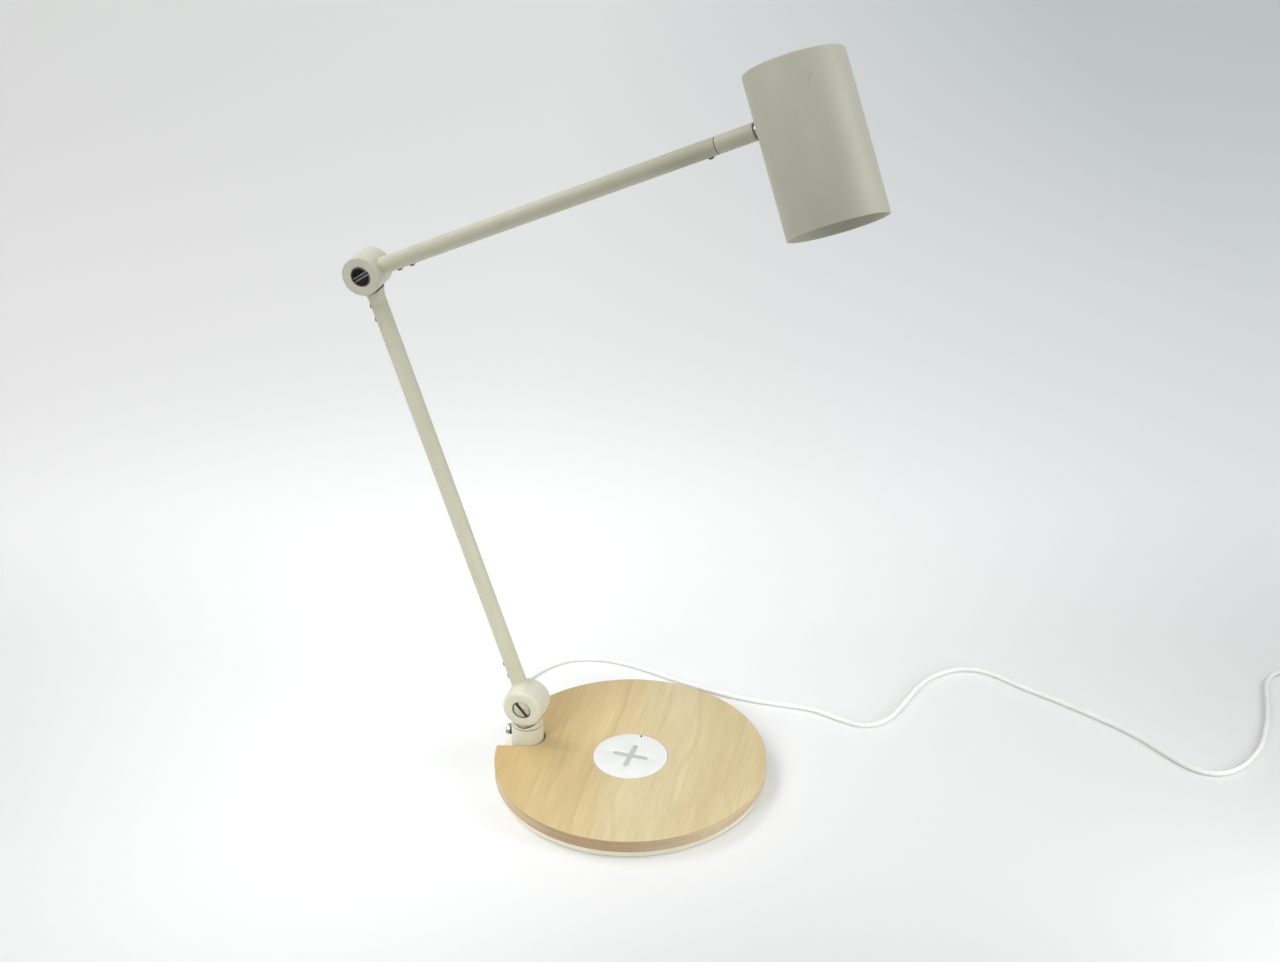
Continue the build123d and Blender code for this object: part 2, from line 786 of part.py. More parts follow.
# Lead inside the upper tube, held in the elbow's stem and reaching the bushing.
bushing_end = shade_radius + neck_gap
bushing_tail = bushing_seam + bushing_spigot_length
with BuildPart(upper_arm_plane) as upper_lead:
    local_cylinder(
        lead_diameter / 2,
        stem_reach - tube_screw_step / 2,
        upper_arm_length - bushing_tail + tube_screw_step / 2,
    )
save(upper_lead, "upper_lead")

# Head bushing: turns in the tube's end; a lug in its groove stops it against the screw's tip.
bushing_groove = bushing_seam + head_screw_inset
bushing_side = upper_direction.cross(head_up)
groove_start = head_up * math.cos(stop_lug) - bushing_side * math.sin(stop_lug)
groove_plane = Plane(
    origin=head_center - upper_direction * bushing_groove,
    x_dir=groove_start,
    z_dir=groove_start.cross(-upper_direction),
)
with BuildPart(arm_end_plane) as head_bushing:
    local_cylinder(tube_radius, bushing_end, bushing_seam)
    local_cylinder(stem_radius, bushing_seam, bushing_tail)
    local_cylinder(wire_bore / 2, bushing_end, bushing_tail, Mode.SUBTRACT)
    local_cylinder(
        neck_diameter / 2 + screw_gap,
        bushing_end,
        bushing_end + bushing_neck_depth + seat_gap,
        Mode.SUBTRACT,
    )
    with BuildSketch(groove_plane):
        with Locations((stem_radius, 0)):
            Rectangle(2 * head_groove_depth, head_screw_tip + 2 * seat_gap)
    revolve(
        axis=Axis(head_center, -upper_direction),
        revolution_arc=stop_arc,
        mode=Mode.SUBTRACT,
    )
save(head_bushing, "head_bushing")

# Shade levels along its own axis, from the arm's axis: up is towards the closed top.
shade_foot = shade_above_arm - shade_length
top_inside = shade_above_arm - shade_top
carrier_top = -carrier_drop
carrier_bottom = carrier_top - carrier_thickness
light_board_bottom = carrier_bottom - light_board_thickness
reflector_bottom = carrier_bottom - reflector_depth
diffuser_bottom = reflector_bottom - diffuser_thickness
ring_bottom = diffuser_bottom - ring_height
inner_radius = shade_bore_radius - seat_gap
flange_top = top_inside - button_play
stem_bottom = flange_top - button_flange_thickness - button_stem_length
plunger_top = stem_bottom - button_travel - switch_gap
switch_top = plunger_top - switch_plunger_height
switch_board_top = switch_top - switch_height
switch_board_bottom = switch_board_top - switch_board_thickness
strap_radius = inner_radius - carrier_strap_thickness
nut_corner = neck_nut_width / math.sqrt(3)
nut_face = math.sqrt(strap_radius**2 - nut_corner**2) - seat_gap
nut_tail = nut_face - neck_nut_thickness

# Hollow neck: clamps the shade to the bushing, with a bright collar in the gap between them.
with BuildPart(arm_end_plane) as head_neck:
    local_cylinder(neck_diameter / 2, nut_tail, bushing_end + bushing_neck_depth)
    local_cylinder(neck_collar / 2, shade_radius + screw_gap, bushing_end)
    local_cylinder(wire_bore / 2, nut_tail, bushing_end + bushing_neck_depth, Mode.SUBTRACT)
save(head_neck, "head_neck")

with BuildPart(arm_end_plane) as neck_nut:
    with BuildSketch(arm_end_plane.offset(nut_tail)):
        RegularPolygon(neck_nut_width / 2, 6, major_radius=False)
        Circle(neck_diameter / 2 + screw_gap, mode=Mode.SUBTRACT)
    extrude(amount=neck_nut_thickness)
save(neck_nut, "neck_nut")


def neck_hole(mode=Mode.SUBTRACT):
    """Hole for the neck, through the wall on the arm's side."""
    with Locations(Location((0, 0, 0), (0, 90, 0))):
        Cylinder(neck_diameter / 2 + screw_gap, shade_diameter, align=on_floor, mode=mode)


# Shade: thin drum, closed on top with a button hole, two bosses inside for the switch board.
with BuildPart(head_plane) as shade:
    local_cylinder(shade_radius, shade_foot, shade_above_arm)
    fillet(shade.edges().sort_by(Axis(head_center, head_up))[-1], shade_top_round)
    local_cylinder(shade_bore_radius, shade_foot, top_inside, Mode.SUBTRACT)
    with GridLocations(0, switch_boss_spacing, 1, 2):
        local_cylinder(switch_boss_diameter / 2, switch_board_top, top_inside)
        local_cylinder(
            switch_screw_shank / 2 + screw_gap,
            switch_board_top,
            switch_board_top + switch_screw_bite + seat_gap,
            Mode.SUBTRACT,
        )
    local_cylinder(button_diameter / 2 + seat_gap, top_inside, shade_above_arm, Mode.SUBTRACT)
    neck_hole()
save(shade, "shade")

# Lamp carrier: metal disc across the shade with a strap up to the neck.
with BuildPart(head_plane) as led_carrier:
    local_cylinder(inner_radius, carrier_bottom, carrier_strap_rise)
    local_cylinder(strap_radius, carrier_bottom, carrier_strap_rise, Mode.SUBTRACT)
    with Locations((0, 0, carrier_bottom)):
        Box(
            shade_diameter,
            carrier_strap_width,
            shade_length,
            align=(Align.MIN, Align.CENTER, Align.MIN),
            mode=Mode.INTERSECT,
        )
    local_cylinder(inner_radius, carrier_bottom, carrier_top)
    neck_hole()
    with GridLocations(0, light_screw_spacing, 1, 2):
        local_cylinder(
            light_screw_shank / 2 + screw_gap,
            carrier_bottom,
            carrier_bottom + light_screw_bite + seat_gap,
            Mode.SUBTRACT,
        )
save(led_carrier, "led_carrier")

with BuildPart(head_plane) as led_board:
    local_cylinder(light_board_diameter / 2, light_board_bottom, carrier_bottom)
    with GridLocations(0, light_screw_spacing, 1, 2):
        local_cylinder(
            light_screw_shank / 2 + screw_gap,
            light_board_bottom,
            carrier_bottom,
            Mode.SUBTRACT,
        )
save(led_board, "led_board")

with BuildPart(head_plane) as led_chips:
    with PolarLocations(chip_circle / 2, chip_count, start_angle=180 / chip_count):
        with Locations((0, 0, light_board_bottom)):
            Box(chip_size, chip_size, chip_height, align=hung)
    with Locations((0, 0, light_board_bottom)):
        Box(chip_size, chip_size, chip_height, align=hung)
save(led_chips, "led_chips")

with BuildPart(head_plane) as led_screws:
    with GridLocations(0, light_screw_spacing, 1, 2):
        local_cylinder(
            light_screw_shank / 2,
            light_board_bottom,
            carrier_bottom + light_screw_bite,
        )
        local_cylinder(
            light_screw_head / 2,
            light_board_bottom - light_screw_head_height,
            light_board_bottom,
        )
save(led_screws, "led_screws")

# Cone reflector round the light board, with a lip that rests on the diffuser.
reflector_mouth = inner_radius - reflector_lip
reflector_throat = light_board_diameter / 2 + seat_gap
with BuildPart(head_plane) as reflector:
    with Locations((0, 0, reflector_bottom)):
        Cone(
            reflector_mouth + reflector_wall,
            reflector_throat + reflector_wall,
            reflector_depth,
            align=on_floor,
        )
        Cylinder(inner_radius, reflector_wall, align=on_floor)
        Cone(
            reflector_mouth,
            reflector_throat,
            reflector_depth,
            align=on_floor,
            mode=Mode.SUBTRACT,
        )
save(reflector, "reflector")

with BuildPart(head_plane) as diffuser:
    local_cylinder(inner_radius, diffuser_bottom, reflector_bottom)
save(diffuser, "diffuser")

with BuildPart(head_plane) as retaining_ring:
    local_cylinder(inner_radius, ring_bottom, diffuser_bottom)
    local_cylinder(inner_radius - ring_width, ring_bottom, diffuser_bottom, Mode.SUBTRACT)
save(retaining_ring, "retaining_ring")

# Push button in the shade's top, held up by its flange.
with BuildPart(head_plane) as power_button:
    local_cylinder(button_diameter / 2, flange_top, shade_above_arm + button_rise)
    fillet(power_button.edges().sort_by(Axis(head_center, head_up))[-1], button_rise / 2)
    local_cylinder(
        button_diameter / 2 + button_flange_width,
        flange_top - button_flange_thickness,
        flange_top,
    )
    local_cylinder(button_stem_diameter / 2, stem_bottom, flange_top)
save(power_button, "power_button")

with BuildPart(head_plane) as switch_board:
    with Locations((0, 0, switch_board_bottom)):
        Box(switch_board_width, switch_board_length, switch_board_thickness, align=on_floor)
    with GridLocations(0, switch_boss_spacing, 1, 2):
        local_cylinder(
            switch_screw_shank / 2 + screw_gap,
            switch_board_bottom,
            switch_board_top,
            Mode.SUBTRACT,
        )
save(switch_board, "switch_board")

with BuildPart(head_plane) as push_switch:
    with Locations((0, 0, switch_board_top)):
        Box(switch_size, switch_size, switch_height, align=on_floor)
    local_cylinder(switch_plunger / 2, switch_top, plunger_top)
save(push_switch, "push_switch")

with BuildPart(head_plane) as switch_screws:
    with GridLocations(0, switch_boss_spacing, 1, 2):
        local_cylinder(
            switch_screw_shank / 2,
            switch_board_bottom,
            switch_board_top + switch_screw_bite,
        )
        local_cylinder(
            switch_screw_head / 2,
            switch_board_bottom - switch_screw_head_height,
            switch_board_bottom,
        )
save(switch_screws, "switch_screws")

# Strain relief: a block in the wood's channel and a tapered nose outside the rim.
cord_radius = cord_diameter / 2
exit_level = plate_top + grommet_height / 2
exit_angle = math.radians(cord_exit_angle)
exit_direction = Vector(math.cos(exit_angle), math.sin(exit_angle), 0)
exit_plane = Plane(origin=(0, 0, exit_level), x_dir=(0, 0, 1), z_dir=exit_direction)
nose_end = base_radius + nose_length
with BuildPart(exit_plane) as cord_grommet:
    with Locations((0, 0, base_radius)):
        Box(grommet_height, grommet_width, grommet_length, align=hung)
        Cone(nose_root_diameter / 2, nose_tip_diameter / 2, nose_length, align=on_floor)
save(cord_grommet, "cord_grommet")

# Lead in the wood's channel, from the strain relief to the charger.
with BuildPart(exit_plane) as base_lead:
    local_cylinder(
        cord_radius,
        pad_diameter / 2 + pad_gap,
        base_radius - grommet_length,
    )
save(base_lead, "base_lead")

# Cord on the table: out of the strain relief, round the back of the base and away to the right.
nose_tip = exit_direction * nose_end + Vector(0, 0, exit_level)
coil_start = Vector(coil_start_x, coil_start_y, cord_radius)
cord_points = [
    nose_tip,
    nose_tip + exit_direction * cord_first_run,
    (-107.5, 63.5, 6.8),
    (-112, 70.5, 4.4),
    (-113.8, 79.5, 2.6),
    (-112.2, 91, cord_radius),
    (-104.8, 109.5, cord_radius),
    (-93, 123.5, cord_radius),
    (-76, 131, cord_radius),
    (-55, 133.5, cord_radius),
    (-29, 129, cord_radius),
    (-2, 121.5, cord_radius),
    (28, 115.3, cord_radius),
    (57, 112.8, cord_radius),
    (83, 114.1, cord_radius),
    (109, 115.8, cord_radius),
    (133, 107.5, cord_radius),
    (153, 104.5, cord_radius),
    (167.5, 120, cord_radius),
    (174.5, 151, cord_radius),
    (181.5, 178, cord_radius),
    (195, 196.5, cord_radius),
    (212, 206, cord_radius),
    (231, 204.5, cord_radius),
    (254, 193, cord_radius),
    (285, 182, cord_radius),
    (317, 168.5, cord_radius),
    (347.5, 154, cord_radius),
    (372, 134.5, cord_radius),
    (391, 122.5, cord_radius),
    (408.5, 122.5, cord_radius),
    (423.5, 135, cord_radius),
    (435, 162, cord_radius),
    (438.5, 195, cord_radius),
    (437.3, 229, cord_radius),
    (434.5, 254, cord_radius),
    (440.5, 270, cord_radius),
    (453, 277.5, cord_radius),
    (467.5, 280.5, cord_radius),
    (481, 281.5, cord_radius),
    coil_start - Vector(cord_diameter, 0, 0),
]
cord_points = [Vector(*point) for point in cord_points]
runs = [after - before for before, after in zip(cord_points, cord_points[1:])]
cord_radii = []
for before, after in zip(runs, runs[1:]):
    half_turn = math.radians(before.get_angle(after)) / 2
    cord_radii.append(cord_bend_share * min(before.length, after.length) / math.tan(half_turn))
with BuildPart() as supply_cord:
    with BuildLine() as cord_path:
        FilletPolyline(*cord_points, radius=cord_radii)
    with BuildSketch(Plane(origin=cord_points[0], z_dir=exit_direction)):
        Circle(cord_radius)
    sweep(path=cord_path.wires()[0])
save(supply_cord, "supply_cord")

# Spare cord: a flat coil that spirals in, climbs a layer and spirals out again.
coil_center = coil_start + Vector(0, coil_outer_radius, 0)
coil_turns = 2 * coil_turns_in + coil_climb_turns


def coil_point(turn):
    """Middle of the coiled cord after a number of turns."""
    spiral = min(turn, coil_turns - turn, coil_turns_in)
    radius = coil_outer_radius - coil_pitch * spiral
    climb = min(max((turn - coil_turns_in) / coil_climb_turns, 0), 1)
    level = coil_layer_step * (1 - math.cos(math.pi * climb)) / 2
    angle = 2 * math.pi * turn - math.pi / 2
    return coil_center + Vector(radius * math.cos(angle), radius * math.sin(angle), level)


def coil_tangent(turn):
    """Direction of the cord there; it enters and leaves along +X."""
    if turn in (0, coil_turns):
        return Vector(1, 0, 0)
    step = 0.001
    return (coil_point(turn + step) - coil_point(turn - step)).normalized()


def biarc(start, start_tangent, end, end_tangent):
    """Two arcs that leave one point and reach another in the given directions."""
    chord = end - start
    both = start_tangent + end_tangent
    square = 2 * (1 - start_tangent.dot(end_tangent))
    linear = chord.dot(both)
    reach = (math.sqrt(linear**2 + square * chord.dot(chord)) - linear) / square
    first = start + start_tangent * reach
    last = end - end_tangent * reach
    middle = (first + last) * 0.5
    TangentArc(start, middle, tangent=start_tangent)
    TangentArc(middle, end, tangent=last - first)


quarters = [quarter / 4 for quarter in range(round(4 * coil_turns) + 1)]
coil_end = coil_point(coil_turns)
relief_start = coil_end + Vector(coil_lead_length, 0, 0)
with BuildPart() as cord_coil:
    with BuildLine() as coil_path:
        Line(coil_start - Vector(cord_diameter, 0, 0), coil_start)
        for before, after in zip(quarters, quarters[1:]):
            biarc(coil_point(before), coil_tangent(before), coil_point(after), coil_tangent(after))
        Line(coil_end, relief_start)
    with BuildSketch(Plane(origin=coil_start - Vector(cord_diameter, 0, 0), z_dir=(1, 0, 0))):
        Circle(cord_radius)
    sweep(path=coil_path.wires()[0])
save(cord_coil, "cord_coil")

# Power adapter on its back with the pins up, and the strain relief that the coil runs into.
relief_plane = Plane(origin=relief_start, x_dir=(0, 1, 0), z_dir=(1, 0, 0))
with BuildPart(relief_plane) as adapter_relief:
    Cone(relief_tip_diameter / 2, relief_diameter / 2, relief_length, align=on_floor)
save(adapter_relief, "adapter_relief")

adapter_start = relief_start + Vector(relief_length, 0, -relief_start.Z)
with BuildPart(Plane(origin=adapter_start)) as power_adapter:
    Box(
        adapter_length,
        adapter_width,
        adapter_height,
        align=(Align.MIN, Align.CENTER, Align.MIN),
    )
    fillet(power_adapter.edges().filter_by(Axis.Z), adapter_round)
    fillet(power_adapter.edges().group_by(Axis.Z)[-1], adapter_round / 2)
save(power_adapter, "power_adapter")

with BuildPart(Plane(origin=adapter_start)) as adapter_pins:
    with Locations((adapter_length / 2, 0, adapter_height)):
        with GridLocations(0, pin_spacing, 1, 2):
            Cylinder(pin_diameter / 2, pin_length, align=on_floor)
    fillet(adapter_pins.edges().group_by(Axis.Z)[-1], pin_diameter / 4)
save(adapter_pins, "adapter_pins")
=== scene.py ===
import json
import math

import bpy
from mathutils import Matrix, Vector


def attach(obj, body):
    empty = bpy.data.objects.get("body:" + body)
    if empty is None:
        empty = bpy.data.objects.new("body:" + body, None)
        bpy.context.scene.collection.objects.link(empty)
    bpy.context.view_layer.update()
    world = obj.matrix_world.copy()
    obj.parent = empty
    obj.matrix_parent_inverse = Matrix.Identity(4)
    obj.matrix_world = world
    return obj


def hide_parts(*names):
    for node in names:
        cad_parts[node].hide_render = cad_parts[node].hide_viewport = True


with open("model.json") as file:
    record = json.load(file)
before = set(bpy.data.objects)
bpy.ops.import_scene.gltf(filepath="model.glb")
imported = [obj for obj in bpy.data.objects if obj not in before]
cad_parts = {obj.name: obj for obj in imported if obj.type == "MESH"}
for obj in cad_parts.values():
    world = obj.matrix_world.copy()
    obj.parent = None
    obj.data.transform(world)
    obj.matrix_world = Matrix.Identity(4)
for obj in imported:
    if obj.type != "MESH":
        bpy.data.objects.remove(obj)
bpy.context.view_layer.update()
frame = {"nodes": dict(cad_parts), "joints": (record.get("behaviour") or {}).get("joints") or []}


# Foot sheet: a thin rubber disc under the base, die-cut and glued to the steel.
# It keeps the lamp from sliding and stands back from the rim, so only its shadow shows.
mm = 0.001


def turn(name, outline, steps=96):
    """Turns a piece on a lathe: an outline of (radius, height) points in millimetres, spun about Z."""
    bpy.ops.object.select_all(action="DESELECT")
    bpy.ops.mesh.primitive_plane_add(size=mm)
    piece = bpy.context.object
    piece.name = name
    piece.data.name = name
    bpy.ops.object.mode_set(mode="EDIT")
    bpy.ops.mesh.merge(type="CENTER")
    bpy.ops.transform.translate(value=(outline[0][0] * mm, 0, outline[0][1] * mm))
    for before, after in zip(outline, outline[1:]):
        step = ((after[0] - before[0]) * mm, 0, (after[1] - before[1]) * mm)
        bpy.ops.mesh.extrude_region_move(TRANSFORM_OT_translate={"value": step})
    bpy.ops.mesh.select_all(action="SELECT")
    bpy.ops.mesh.spin(steps=steps, angle=2 * math.pi, center=(0, 0, 0), axis=(0, 0, 1))
    bpy.ops.mesh.select_all(action="SELECT")
    bpy.ops.mesh.remove_doubles(threshold=0.002 * mm)
    bpy.ops.mesh.normals_make_consistent(inside=False)
    bpy.ops.object.mode_set(mode="OBJECT")
    return piece


def only(piece):
    """Selects one piece and makes it the active one."""
    bpy.ops.object.select_all(action="DESELECT")
    piece.select_set(True)
    bpy.context.view_layer.objects.active = piece


def clean(piece, reach):
    """Joins points that lie on each other and takes out the faces that this leaves flat."""
    only(piece)
    bpy.ops.object.mode_set(mode="EDIT")
    bpy.ops.mesh.select_all(action="SELECT")
    bpy.ops.mesh.remove_doubles(threshold=reach * mm)
    bpy.ops.mesh.dissolve_degenerate(threshold=reach * mm)
    bpy.ops.object.mode_set(mode="OBJECT")


def ease(piece, width, segments=3, limit=40):
    """Takes the sharp edges off a piece and shades its curved faces smooth."""
    clean(piece, 0.02)
    if width:
        bevel = piece.modifiers.new("eased_edges", "BEVEL")
        bevel.width = width * mm
        bevel.segments = segments
        bevel.limit_method = "ANGLE"
        bevel.angle_limit = math.radians(limit)
        bpy.ops.object.modifier_apply(modifier=bevel.name)
        clean(piece, 0.003)
    bpy.ops.object.shade_smooth_by_angle(angle=math.radians(limit))
    return piece


def put(piece, place):
    """Moves a piece from the bench to its place, with the place in its mesh."""
    only(piece)
    piece.matrix_world = place
    bpy.ops.object.transform_apply(location=True, rotation=True, scale=True)
    return piece


def dress(piece, finish, body, slot, *replaced):
    """Gives a piece its finish, its body and the solids that it stands for."""
    piece.data.materials.clear()
    piece.data.materials.append(finish)
    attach(piece, body)
    if replaced:
        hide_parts(*replaced)
    return piece


def plug(finish, node, sockets):
    """Joins a node's sockets to other nodes, or sets their values."""
    for socket, value in sockets.items():
        if hasattr(value, "links"):
            finish.node_tree.links.new(value, node.inputs[socket])
        else:
            node.inputs[socket].default_value = value


def add_node(finish, kind, sockets, operation=None):
    """Adds a node to a finish and fills its sockets."""
    node = finish.node_tree.nodes.new(kind)
    if operation:
        node.operation = operation
    plug(finish, node, sockets)
    return node


def shader_of(finish):
    """The node that gives a finish its surface."""
    return finish.node_tree.nodes["Principled BSDF"]


def new_finish(name, colour, roughness, metallic=0.0):
    """A finish with its plain colour and gloss, ready for its nodes."""
    finish = bpy.data.materials.new(name)
    finish.use_nodes = True
    looks = {"Base Color": (*colour, 1), "Roughness": roughness, "Metallic": metallic}
    plug(finish, shader_of(finish), looks)
    return finish


def pattern(finish, scale, detail=4.0, stretch=(1, 1, 1)):
    """Noise on the piece's own coordinates, in features per metre."""
    place = add_node(finish, "ShaderNodeTexCoord", {}).outputs["Object"]
    drawn = add_node(finish, "ShaderNodeMapping", {"Vector": place, "Scale": stretch}).outputs["Vector"]
    sockets = {"Vector": drawn, "Scale": scale, "Detail": detail}
    return add_node(finish, "ShaderNodeTexNoise", sockets).outputs["Fac"]


def between(finish, factor, low, dark, high, light):
    """Two colours over a stretch of a pattern."""
    ramp = add_node(finish, "ShaderNodeValToRGB", {"Fac": factor})
    first, last = ramp.color_ramp.elements
    first.position, first.color = low, (*dark, 1)
    last.position, last.color = high, (*light, 1)
    return ramp.outputs["Color"]


def blended(finish, factor, first, second, how="MIX"):
    """Lays one colour over another by a pattern."""
    mix = add_node(finish, "ShaderNodeMix", {})
    mix.data_type = "RGBA"
    mix.blend_type = how
    plug(finish, mix, {"Factor": factor})
    first_colour, second_colour, mixed_colour = 6, 7, 2
    for socket, colour in ((first_colour, first), (second_colour, second)):
        plug(finish, mix, {socket: colour if hasattr(colour, "links") else (*colour, 1)})
    return mix.outputs[mixed_colour]


def wear(finish, colour, roughness, bump, strength=0.1, depth=0.05):
    """Joins a colour, a roughness range and a bump to the shader."""
    factor, low, high = roughness
    gloss = add_node(finish, "ShaderNodeMapRange", {"Value": factor, "To Min": low, "To Max": high})
    raised = {"Height": bump, "Strength": strength, "Distance": depth * mm}
    relief = add_node(finish, "ShaderNodeBump", raised)
    looks = {"Base Color": colour, "Roughness": gloss.outputs["Result"], "Normal": relief.outputs["Normal"]}
    plug(finish, shader_of(finish), looks)
    return finish


foot_rubber = new_finish("foot_rubber", (0.03, 0.03, 0.03), 0.85)
wear(
    foot_rubber,
    between(foot_rubber, pattern(foot_rubber, 300), 0.3, (0.022, 0.022, 0.022), 0.7, (0.05, 0.05, 0.048)),
    (pattern(foot_rubber, 900), 0.75, 0.92),
    pattern(foot_rubber, 1800),
    0.3,
    0.1,
)
foot_sheet = turn("foot_sheet", [(0, 0), (91.5, 0), (91.5, 0.6), (0, 0.6)], 128)
ease(foot_sheet, 0.15)
dress(foot_sheet, foot_rubber, "base", "rubber_foot", "base_sole")


# Under-base: a steel disc, powder coated off-white, which gives the lamp its weight.
# Its rounded lower edge shows as a pale band below the wood, behind a fine shadow line.

def powder_coat(name, light, dark, rough=0.5):
    """Satin powder coat: faint cloudy colour, a fine orange-peel skin and a few rubbed marks."""
    coat = new_finish(name, light, rough)
    clouds = pattern(coat, 22, 3)
    colour = between(coat, clouds, 0.32, dark, 0.68, light)
    specks = pattern(coat, 420, 2)
    grime = between(coat, specks, 0.70, (0, 0, 0), 0.80, (0.16, 0.16, 0.16))
    stained = tuple(0.62 * value for value in dark)
    colour = blended(coat, grime, colour, stained)
    gloss = (pattern(coat, 60), rough - 0.08, rough + 0.1)
    return wear(coat, colour, gloss, pattern(coat, 1500, 2), 0.12, 0.06)


base_coat = powder_coat("base_coat", (0.82, 0.79, 0.635), (0.77, 0.74, 0.59), 0.45)
under_base = turn(
    "under_base",
    [(0, 0.6), (96.2, 0.6), (96.76, 0.83), (97, 1.4), (97, 5.6), (96.6, 6), (0, 6)],
    192,
)
ease(under_base, 0.15, 2)
dress(under_base, base_coat, "base", "base_paint", "base_plate")


# Wood disc: birch veneer board, turned round, with an open notch for the post,
# a round hole for the charging pad and a channel below for the lead; edges eased by hand.

def combine(piece, operation, *others):
    """Combines a piece with other shapes, which it uses up."""
    for other in others:
        only(piece)
        combined = piece.modifiers.new("combined", "BOOLEAN")
        combined.operation = operation
        combined.solver = "EXACT"
        combined.object = other
        bpy.ops.object.modifier_apply(modifier=combined.name)
        bpy.data.objects.remove(other)
    return piece


def cut(piece, *cutters):
    """Cuts other shapes out of a piece."""
    return combine(piece, "DIFFERENCE", *cutters)


def join(piece, *others):
    """Makes one skin of a piece and the others that grow out of it."""
    return combine(piece, "UNION", *others)


def block(size, place):
    """Rectangular cutter or blank, in millimetres about its middle."""
    bpy.ops.object.select_all(action="DESELECT")
    bpy.ops.mesh.primitive_cube_add(size=1)
    blank = bpy.context.object
    blank.scale = tuple(side * mm for side in size)
    bpy.ops.object.transform_apply(location=False, rotation=False, scale=True)
    return put(blank, place)


def rod(radius, low, high, place, sides=128):
    """Round cutter or blank between two heights, in millimetres."""
    bpy.ops.object.select_all(action="DESELECT")
    bpy.ops.mesh.primitive_cylinder_add(
        vertices=sides,
        radius=radius * mm,
        depth=(high - low) * mm,
        location=(0, 0, (low + high) / 2 * mm),
    )
    blank = bpy.context.object
    bpy.ops.object.transform_apply(location=True, rotation=True, scale=True)
    return put(blank, place)


def at(x, y, z, angle=0.0):
    """A place in millimetres, turned about Z by an angle in degrees."""
    return Matrix.Translation((x * mm, y * mm, z * mm)) @ Matrix.Rotation(math.radians(angle), 4, "Z")


def birch_veneer():
    """Birch: staves side by side, each with its own tone, thin wandering growth lines and short fibres,
    under a painted sheen that lightens the disc towards +X and whitens the stave across the middle.
    """
    birch = new_finish("birch_veneer", (0.69, 0.56, 0.32), 0.44)
    place = add_node(birch, "ShaderNodeTexCoord", {}).outputs["Object"]
    leaning = {"Vector": place, "Rotation": (0, 0, math.radians(-6))}
    lean = add_node(birch, "ShaderNodeMapping", leaning).outputs["Vector"]
    across = add_node(birch, "ShaderNodeSeparateXYZ", {"Vector": lean}).outputs["X"]

    def step(edge, soft=0.4):
        """Changes from 0 to 1 at one place across the grain."""
        stretch = {"Value": across, "From Min": (edge - soft) * mm, "From Max": (edge + soft) * mm}
        reach = add_node(birch, "ShaderNodeMapRange", stretch)
        reach.interpolation_type = "SMOOTHSTEP"
        return reach.outputs["Result"]

    def grain(wide, long, detail, side=0.0):
        """Noise drawn out along the grain, in features per metre."""
        drawing = {"Vector": lean, "Scale": (wide, long, 1), "Location": (side, side, side)}
        drawn = add_node(birch, "ShaderNodeMapping", drawing).outputs["Vector"]
        sockets = {"Vector": drawn, "Scale": 1, "Detail": detail}
        return add_node(birch, "ShaderNodeTexNoise", sockets).outputs["Fac"]

    def sum_of(first, second, factor):
        """First value plus a share of the second."""
        sockets = {0: second, 1: factor, 2: first}
        return add_node(birch, "ShaderNodeMath", sockets, "MULTIPLY_ADD").outputs["Value"]

    def growth_lines(wander, spacing, side):
        """Thin lines along the grain that wander sideways together."""
        path = sum_of(across, grain(9, 7, 1.5, side), wander * mm)
        path = sum_of(path, grain(45, 22, 1, side + 3), 5 * mm)
        rings = add_node(birch, "ShaderNodeTexNoise", {"Scale": spacing, "Detail": 3, "Roughness": 0.62})
        rings.noise_dimensions = "1D"
        plug(birch, rings, {"W": path})
        return rings.outputs["Fac"]

    second, third, fourth = step(-59), step(-8), step(43)
    # Painted sheen: the ground lightens smoothly across the disc towards +X, and the middle stave's tone is
    # whiter and bluer.
    ground = blended(birch, step(-38, 62), (0.560, 0.420, 0.198), (0.640, 0.540, 0.325))
    tones = blended(birch, second, (0.96, 0.935, 0.89), (1.0, 0.985, 0.95))
    tones = blended(birch, third, tones, (1.025, 1.04, 1.06))
    tones = blended(birch, fourth, tones, (0.995, 0.985, 0.96))
    ground = blended(birch, 1.0, ground, tones, "MULTIPLY")
    clouds = between(birch, grain(34, 11, 3), 0.3, (0.935, 0.905, 0.86), 0.7, (1.045, 1.05, 1.055))
    ground = blended(birch, 1.0, ground, clouds, "MULTIPLY")
    streaks = between(birch, grain(120, 12, 3, 5.0), 0.32, (0.95, 0.935, 0.91), 0.68, (1.035, 1.04, 1.045))
    ground = blended(birch, 1.0, ground, streaks, "MULTIPLY")
    near = growth_lines(34, 120, 0.0)
    far = growth_lines(75, 75, 11.0)
    strong = between(birch, near, 0.30, (0.87, 0.84, 0.79), 0.45, (1.0, 1.0, 1.0))
    weak = between(birch, far, 0.30, (0.92, 0.90, 0.87), 0.46, (1.0, 1.0, 1.0))
    ground = blended(birch, 1.0, ground, blended(birch, third, strong, weak), "MULTIPLY")
    fibres = grain(520, 26, 3)
    fine = between(birch, fibres, 0.3, (0.945, 0.935, 0.92), 0.7, (1.035, 1.035, 1.035))
    ground = blended(birch, 1.0, ground, fine, "MULTIPLY")
    pores = grain(1100, 90, 2)
    ground = blended(
        birch,
        between(birch, pores, 0.68, (0, 0, 0), 0.8, (0.22, 0.22, 0.22)),
        ground,
        (0.46, 0.31, 0.14),
    )
    return wear(birch, ground, (fibres, 0.38, 0.52), pores, 0.10, 0.05)


